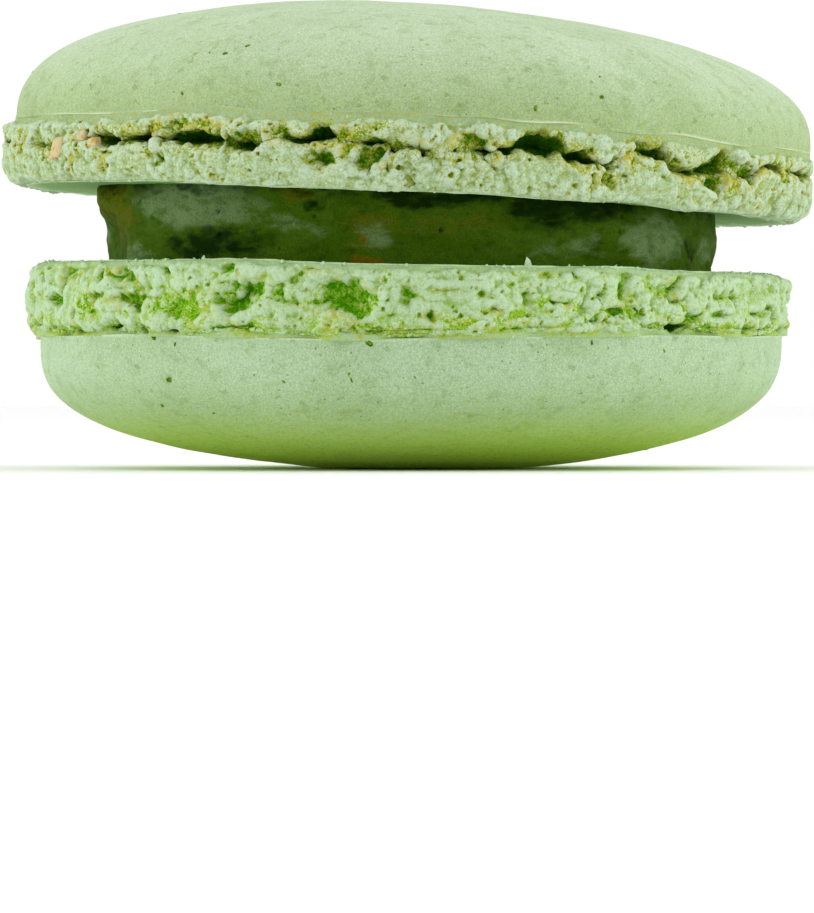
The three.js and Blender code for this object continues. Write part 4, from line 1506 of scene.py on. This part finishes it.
def crumb_material(name, tones):
    """Torn crumb: whitish lumps, green crevices darkened as painted shade, and toasted rims. Torn places
    turn from yellowish through moist green to dark as they get deeper: part moist crumb, part painted
    shade."""
    dry, bare, crevice_tone_and_shade, torn_tone, inner, deep, rim_tone = tones
    surface = Surface(name)
    grain = surface.grain(0.13)
    grain_low = surface.minus(1.0, grain)
    lean = surface.minus(grain, 0.5)
    # Painted shade between the lumps, broken by the grain.
    low = surface.minus(surface.mark("low"), surface.times(lean, 0.5), clamp=True)
    tone = surface.mix(low, dry, crevice_tone_and_shade)
    bare_tone = surface.mix(surface.times(grain_low, 0.35), bare, crevice_tone_and_shade)
    tone = surface.cover(tone, surface.mark("bare"), 0.9, bare_tone)
    patch = surface.times(surface.patches(1.1, 0.48, 0.62), surface.minus(1.0, surface.mark("bare")))
    tone = surface.cover(tone, surface.times(patch, grain_low), 0.35, torn_tone)
    rough = surface.plus(0.28, surface.times(surface.ramp(surface.mark("torn"), 0.15, 0.4), 0.3))
    depth = surface.minus(surface.mark("torn"), surface.times(lean, rough))
    # Deeper is darker: part moist crumb, part painted shade.
    for start, stop, shade in ((0.06, 0.26, torn_tone), (0.26, 0.6, inner), (0.6, 1.0, deep)):
        tone = surface.mix(surface.ramp(depth, start, stop), tone, shade)
    shallow = surface.minus(1.0, surface.ramp(depth, 0.35, 0.7))
    tone = surface.cover(tone, surface.times(surface.mark("rim"), shallow), 0.8, rim_tone)
    tone = surface.cover(tone, surface.specks(0.3, 0.28, 0.5), surface.times(shallow, 0.45), CRUMB_LIGHT)
    surface.finish(tone, 0.9, surface.grain(0.11, output="Height"), 0.8, 0.07, soft=0.1)


def cream_material(name, colours):
    """Dense nut cream: dark olive, with pale patches that are partly a painted sheen, brownish and dark
    patches, and painted shade that makes it darkest where it meets the upper shell and darker in its pits."""
    surface = Surface(name)
    drawn = surface.vector("MULTIPLY", surface.place, (1.0, 1.0, 2.0))
    lean = surface.times(surface.minus(surface.patches(1.2, 0.2, 0.8, drawn), 0.5), 0.8)
    tone = surface.cover(colours.cream, surface.patches(3.4, 0.35, 0.7, drawn), 0.6, CREAM_SMEAR)
    # Olive patches, and pale ones that are partly a painted sheen.
    for kind, shade in (("olive", colours.cream_olive), ("pale", colours.cream_pale_and_sheen)):
        tone = surface.mix(surface.ramp(surface.plus(surface.mark(kind), lean), 0.15, 1.05), tone, shade)
    tone = surface.cover(tone, surface.patches(0.8, 0.5, 0.75, drawn), 0.4, colours.cream_dark_and_shade)
    # Painted shade under the upper shell: darker towards the top, joined with the dark patches.
    top = surface.times(surface.ramp(surface.mark("rise"), 0.7, 1.0), 0.6)
    dark = surface.math("MAXIMUM", surface.mark("dark"), top)
    tone = surface.mix(surface.ramp(surface.plus(dark, lean), 0.15, 1.05), tone, colours.cream_dark_and_shade)
    rust = surface.plus(surface.mark("rust"), surface.times(lean, 0.5))
    tone = surface.mix(surface.ramp(rust, 0.3, 0.9), tone, CREAM_RUST)
    tone = surface.cover(tone, surface.specks(2.6, 0.09, 0.3), 0.5, CREAM_NUT)
    # Painted shade in the pits.
    tone = surface.cover(tone, surface.mark("pit"), 0.6, colours.cream_dark_and_shade)
    tone = surface.grainy(tone, surface.grain(0.08, 1.3), CREAM_GRIT_TINT, CREAM_GRIT_LIGHT)
    surface.finish(tone, 0.7, surface.grain(0.3, output="Height"), 0.6, 0.1)


def nut_material(name, colours):
    """Chopped nut: beige, with reddish skin in patches."""
    surface = Surface(name)
    tone = surface.mix(surface.patches(0.3, 0.5, 0.64), colours.nut, colours.nut_skin)
    surface.finish(tone, 0.6, surface.grain(0.15, output="Height"), 0.4, 0.05)


def pinhole_material(name):
    """Inside of a burst bubble: dark olive with a little yellow, part the crumb's own olive and part
    painted shade of a hole, on a scab that stands a hair proud.
    """
    surface = Surface(name)
    tone = surface.mix(surface.patches(0.2, 0.4, 0.6), BUBBLE_DARK, BUBBLE_LIGHT)
    surface.finish(tone, 0.8, surface.grain(0.1, output="Height"), 0.4, 0.03)


def floor_material(name, colours):
    """Pale, even studio floor with a barely visible tooth."""
    surface = Surface(name)
    tooth = surface.grain(2)
    surface.finish(surface.cover(colours.floor, tooth, 0.15, FLOOR_TOOTH), 0.6, tooth, 0.02, 0.01)


# ---------------------------------------------------------------- operators


def both_shells(context):
    """The upper and the lower shell, each with its name."""
    scene = context.scene
    return (
        ("upper", Shell(scene.macaron_upper, UPPER_FORM)),
        ("lower", Shell(scene.macaron_lower, LOWER_FORM)),
    )


def material(name):
    """A material made before by the materials operator."""
    found = bpy.data.materials.get(name)
    if found is None:
        raise RuntimeError(f"make the materials before the piece that needs {name}")
    return found


class MACARON_OT_materials(bpy.types.Operator):
    """Make the baked skins, crumbs, cream, nut and floor materials"""

    bl_idname = "macaron.materials"
    bl_label = "Materials"

    def execute(self, context):
        colours = context.scene.macaron_colours
        grain_group()
        speck_group()
        patch_group()
        skin_material("upper_skin", colours, colours.skin)
        # The lower skin's bottom is painted with green bounce light.
        skin_material("lower_skin", colours, colours.fresh_skin, colours.painted_green_bounce_bottom)
        skin_material("flat_skin", colours, colours.flat_skin)
        # The two feet's hollow tones differ as a shaded and a lit copy: the lower foot faces up to the
        # light.
        upper = ("crumb", "bare", "crumb_crevice_tone_and_shade", "torn", "inner", "deep", "rim")
        lower = [f"fresh_{label}" for label in ("crumb", "bare", "low", "torn", "inner", "deep", "rim")]
        for name, labels in (("upper_crumb", upper), ("lower_crumb", lower)):
            crumb_material(name, [getattr(colours, label) for label in labels])
        cream_material("filling", colours)
        nut_material("chopped_nut", colours)
        pinhole_material("burst_bubble")
        floor_material("studio_floor", colours)
        return {"FINISHED"}


class MACARON_OT_domes(bpy.types.Operator):
    """Build the two smooth domes"""

    bl_idname = "macaron.domes"
    bl_label = "Domes"

    def execute(self, context):
        for name, shell in both_shells(context):
            belongs(dome(shell, f"{name}_dome", material(f"{name}_skin")), shell.form.node)
        return {"FINISHED"}


# Each foot's bands: name, section, rows round the section and columns round the shell.
FOOT_BANDS = {
    "upper": (("base", base_band, 61, 1630), ("collar", collar_band, 46, 1630)),
    "lower": (("base", base_band, 66, 1500), ("collar", collar_band, 29, 1500)),
}


class MACARON_OT_feet(bpy.types.Operator):
    """Build the torn feet: a band on each side of the crack, and the inside behind it, painted dark as
    shade
    """

    bl_idname = "macaron.feet"
    bl_label = "Feet"

    def execute(self, context):
        for name, shell in both_shells(context):
            crumb = material(f"{name}_crumb")
            belongs(core_ring(shell, f"{name}_foot_core", crumb), shell.form.node)
            for part, section, rows, columns in FOOT_BANDS[name]:
                band = Band(shell, section, rows, columns)
                made = band.piece(f"{name}_foot_{part}", crumb)
                belongs(made, shell.form.node)
        return {"FINISHED"}


class MACARON_OT_flats(bpy.types.Operator):
    """Build the thin skins of the shells' flat sides"""

    bl_idname = "macaron.flats"
    bl_label = "Flat sides"

    def execute(self, context):
        for name, shell in both_shells(context):
            belongs(flat_side(shell, f"{name}_flat", material("flat_skin")), shell.form.node)
        return {"FINISHED"}


class MACARON_OT_cream(bpy.types.Operator):
    """Build the disc of cream"""

    bl_idname = "macaron.cream"
    bl_label = "Cream"

    def execute(self, context):
        scene, filling = context.scene, material("filling")
        made = cream_disc(scene.macaron_cream, scene.macaron_upper, scene.macaron_lower, filling)
        belongs(made, "cream_filling")
        return {"FINISHED"}


CRUMB_COUNTS = {"upper": 700, "lower": 600}


class MACARON_OT_crumbs(bpy.types.Operator):
    """Scatter loose crumbs, rim flakes and nut pieces"""

    bl_idname = "macaron.crumbs"
    bl_label = "Crumbs, flakes and nut"

    def execute(self, context):
        for name, shell in both_shells(context):
            made = crumbs(shell, CRUMB_COUNTS[name], f"{name}_crumbs", material(f"{name}_crumb"))
            belongs(made, shell.form.node)
        (_, upper), (_, lower) = both_shells(context)
        belongs(crumb_flakes(lower, material("lower_crumb")), "lower_shell")
        belongs(nut_pieces(upper, material("chopped_nut")), "upper_shell")
        return {"FINISHED"}


# Burst bubbles that face the front: bearing in degrees, sweep up the dome and radius in millimetres.
UPPER_PINHOLES = (
    (-26, 0.406, 0.12),
    (-28.7, 0.328, 0.13),
    (-18.9, 0.138, 0.12),
    (-33.7, 0.06, 0.09),
    (-31.4, 0.331, 0.06),
    (16.8, 0.057, 0.13),
    (27.5, 0.31, 0.07),
    (26.9, 0.162, 0.13),
)
LOWER_PINHOLES = (
    (-6.1, 0.002, 0.2),
    (-41.5, 0.002, 0.15),
    (-39.4, 0.183, 0.18),
    (-44.1, 0.379, 0.13),
    (-8.8, 0.148, 0.07),
    (-8.7, 0.162, 0.06),
    (0.6, 0.14, 0.06),
    (-19.2, 0.177, 0.09),
    (-34, 0.433, 0.08),
    (-9.1, 0.12, 0.08),
    (-37.3, 0.015, 0.09),
    (27.5, 0.01, 0.1),
    (40.6, 0.036, 0.08),
)
# Each dome's burst bubbles: the ones that face the front, and how many more are scattered.
PINHOLES = {"upper": (UPPER_PINHOLES, 22), "lower": (LOWER_PINHOLES, 16)}


class MACARON_OT_pinholes(bpy.types.Operator):
    """Dot the domes with small burst bubbles"""

    bl_idname = "macaron.pinholes"
    bl_label = "Pinholes"

    def execute(self, context):
        for name, shell in both_shells(context):
            made = pinholes(shell, *PINHOLES[name], f"{name}_pinholes", material("burst_bubble"))
            belongs(made, shell.form.node)
        return {"FINISHED"}


class MACARON_OT_stage(bpy.types.Operator):
    """Set the pale floor, the soft lights and the camera"""

    bl_idname = "macaron.stage"
    bl_label = "Stage"

    def execute(self, context):
        floor_disc()
        world_light(context.scene)
        for name, place, size, power in LIGHTS:
            soft_light(name, place, size, power)
        front_camera(context.scene)
        context.scene.view_settings.view_transform = "Standard"
        return {"FINISHED"}


# ---------------------------------------------------------------- stage

FLOOR_RADIUS = 3.0
FLOOR_THICKNESS = 0.02
# Lights: name, place in metres, edge length in metres, power in watts.
LIGHTS = (
    ("light_top", (0.05, -0.1, 0.75), 0.7, 0.5),
    ("light_left", (-0.7, 0.0, 0.1), 0.18, 1.15),
    ("light_right", (0.7, 0.0, 0.1), 0.18, 1.15),
)
WORLD_STRENGTH = 1.0
CAMERA_PLACE = Vector((-0.1 * MM, -420 * MM, 4.1 * MM))
CAMERA_AIM = Vector((-0.12 * MM, 0.0, 0.7 * MM))
FRAME_HEIGHT = 53.97 * MM  # how much of the aim's plane the frame's long side shows
SENSOR = 36.0


def floor_disc():
    """A wide, flat, round studio floor with a little thickness: rings of growing radius."""
    bearing = bearings(180)
    radius = np.linspace(0.05, FLOOR_RADIUS, 30)[:, None]
    across = (radius * np.sin(bearing), -radius * np.cos(bearing), 0 * radius)
    grid = np.stack(np.broadcast_arrays(*across), -1)
    poles = np.array([[0, 0, 0], [0, 0, -FLOOR_THICKNESS]])
    grid = np.concatenate([grid, grid[::-1] + poles[1]])
    made = grid_object("studio_floor", grid, material("studio_floor"), poles=poles)


def world_light(scene):
    """An even white surround."""
    world = bpy.data.worlds.new("surround")
    world.use_nodes = True
    background = world.node_tree.nodes["Background"]
    background.inputs["Color"].default_value = (1.0, 1.0, 1.0, 1.0)
    background.inputs["Strength"].default_value = WORLD_STRENGTH
    scene.world = world


def soft_light(name, place, size, power):
    """A square soft box that faces the macaron."""
    light = bpy.data.lights.new(name, "AREA")
    light.size = size
    light.energy = power
    made = bpy.data.objects.new(name, light)
    made.location = place
    made.rotation_euler = (-Vector(place)).to_track_quat("-Z", "Y").to_euler()
    bpy.context.scene.collection.objects.link(made)


def front_camera(scene):
    """A long lens, almost level with the lower shell's bottom."""
    camera = bpy.data.cameras.new("camera")
    camera.sensor_width = SENSOR
    camera.lens = SENSOR * (CAMERA_AIM - CAMERA_PLACE).length / FRAME_HEIGHT
    camera.clip_start, camera.clip_end = 0.01, 20
    made = bpy.data.objects.new("camera", camera)
    made.location = CAMERA_PLACE
    made.rotation_euler = (CAMERA_AIM - CAMERA_PLACE).to_track_quat("-Z", "Y").to_euler()
    scene.collection.objects.link(made)
    scene.camera = made


# ---------------------------------------------------------------- add-on

OPERATORS = (
    MACARON_OT_materials,
    MACARON_OT_domes,
    MACARON_OT_feet,
    MACARON_OT_flats,
    MACARON_OT_cream,
    MACARON_OT_crumbs,
    MACARON_OT_pinholes,
    MACARON_OT_stage,
)


class MACARON_PT_sidebar(bpy.types.Panel):
    """Buttons that build the macaron, in order"""

    bl_label = "Macaron"
    bl_idname = "MACARON_PT_sidebar"
    bl_space_type = "VIEW_3D"
    bl_region_type = "UI"
    bl_category = "Macaron"

    def draw(self, context):
        for operator in OPERATORS:
            self.layout.operator(operator.bl_idname)
        for group, _ in SETTINGS:
            settings, box = getattr(context.scene, group), self.layout.box()
            for label in settings.bl_rna.properties.keys():
                if label not in ("rna_type", "name"):
                    box.prop(settings, label)


SETTINGS = (
    ("macaron_upper", UpperShellSettings),
    ("macaron_lower", LowerShellSettings),
    ("macaron_cream", CreamSettings),
    ("macaron_colours", ColourSettings),
)


def register():
    """Adds the settings, the operators and the panel."""
    for label, settings in SETTINGS:
        bpy.utils.register_class(settings)
        setattr(bpy.types.Scene, label, PointerProperty(type=settings))
    for made in (*OPERATORS, MACARON_PT_sidebar):
        bpy.utils.register_class(made)


def unregister():
    """Takes them away again."""
    for made in (MACARON_PT_sidebar, *reversed(OPERATORS)):
        bpy.utils.unregister_class(made)
    for label, settings in SETTINGS:
        delattr(bpy.types.Scene, label)
        bpy.utils.unregister_class(settings)


def main():
    """Builds everything in order."""
    register()
    bpy.ops.macaron.materials()
    bpy.ops.macaron.domes()
    bpy.ops.macaron.feet()
    bpy.ops.macaron.flats()
    bpy.ops.macaron.cream()
    bpy.ops.macaron.crumbs()
    bpy.ops.macaron.pinholes()
    bpy.ops.macaron.stage()
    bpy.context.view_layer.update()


if __name__ == "__main__":
    main()
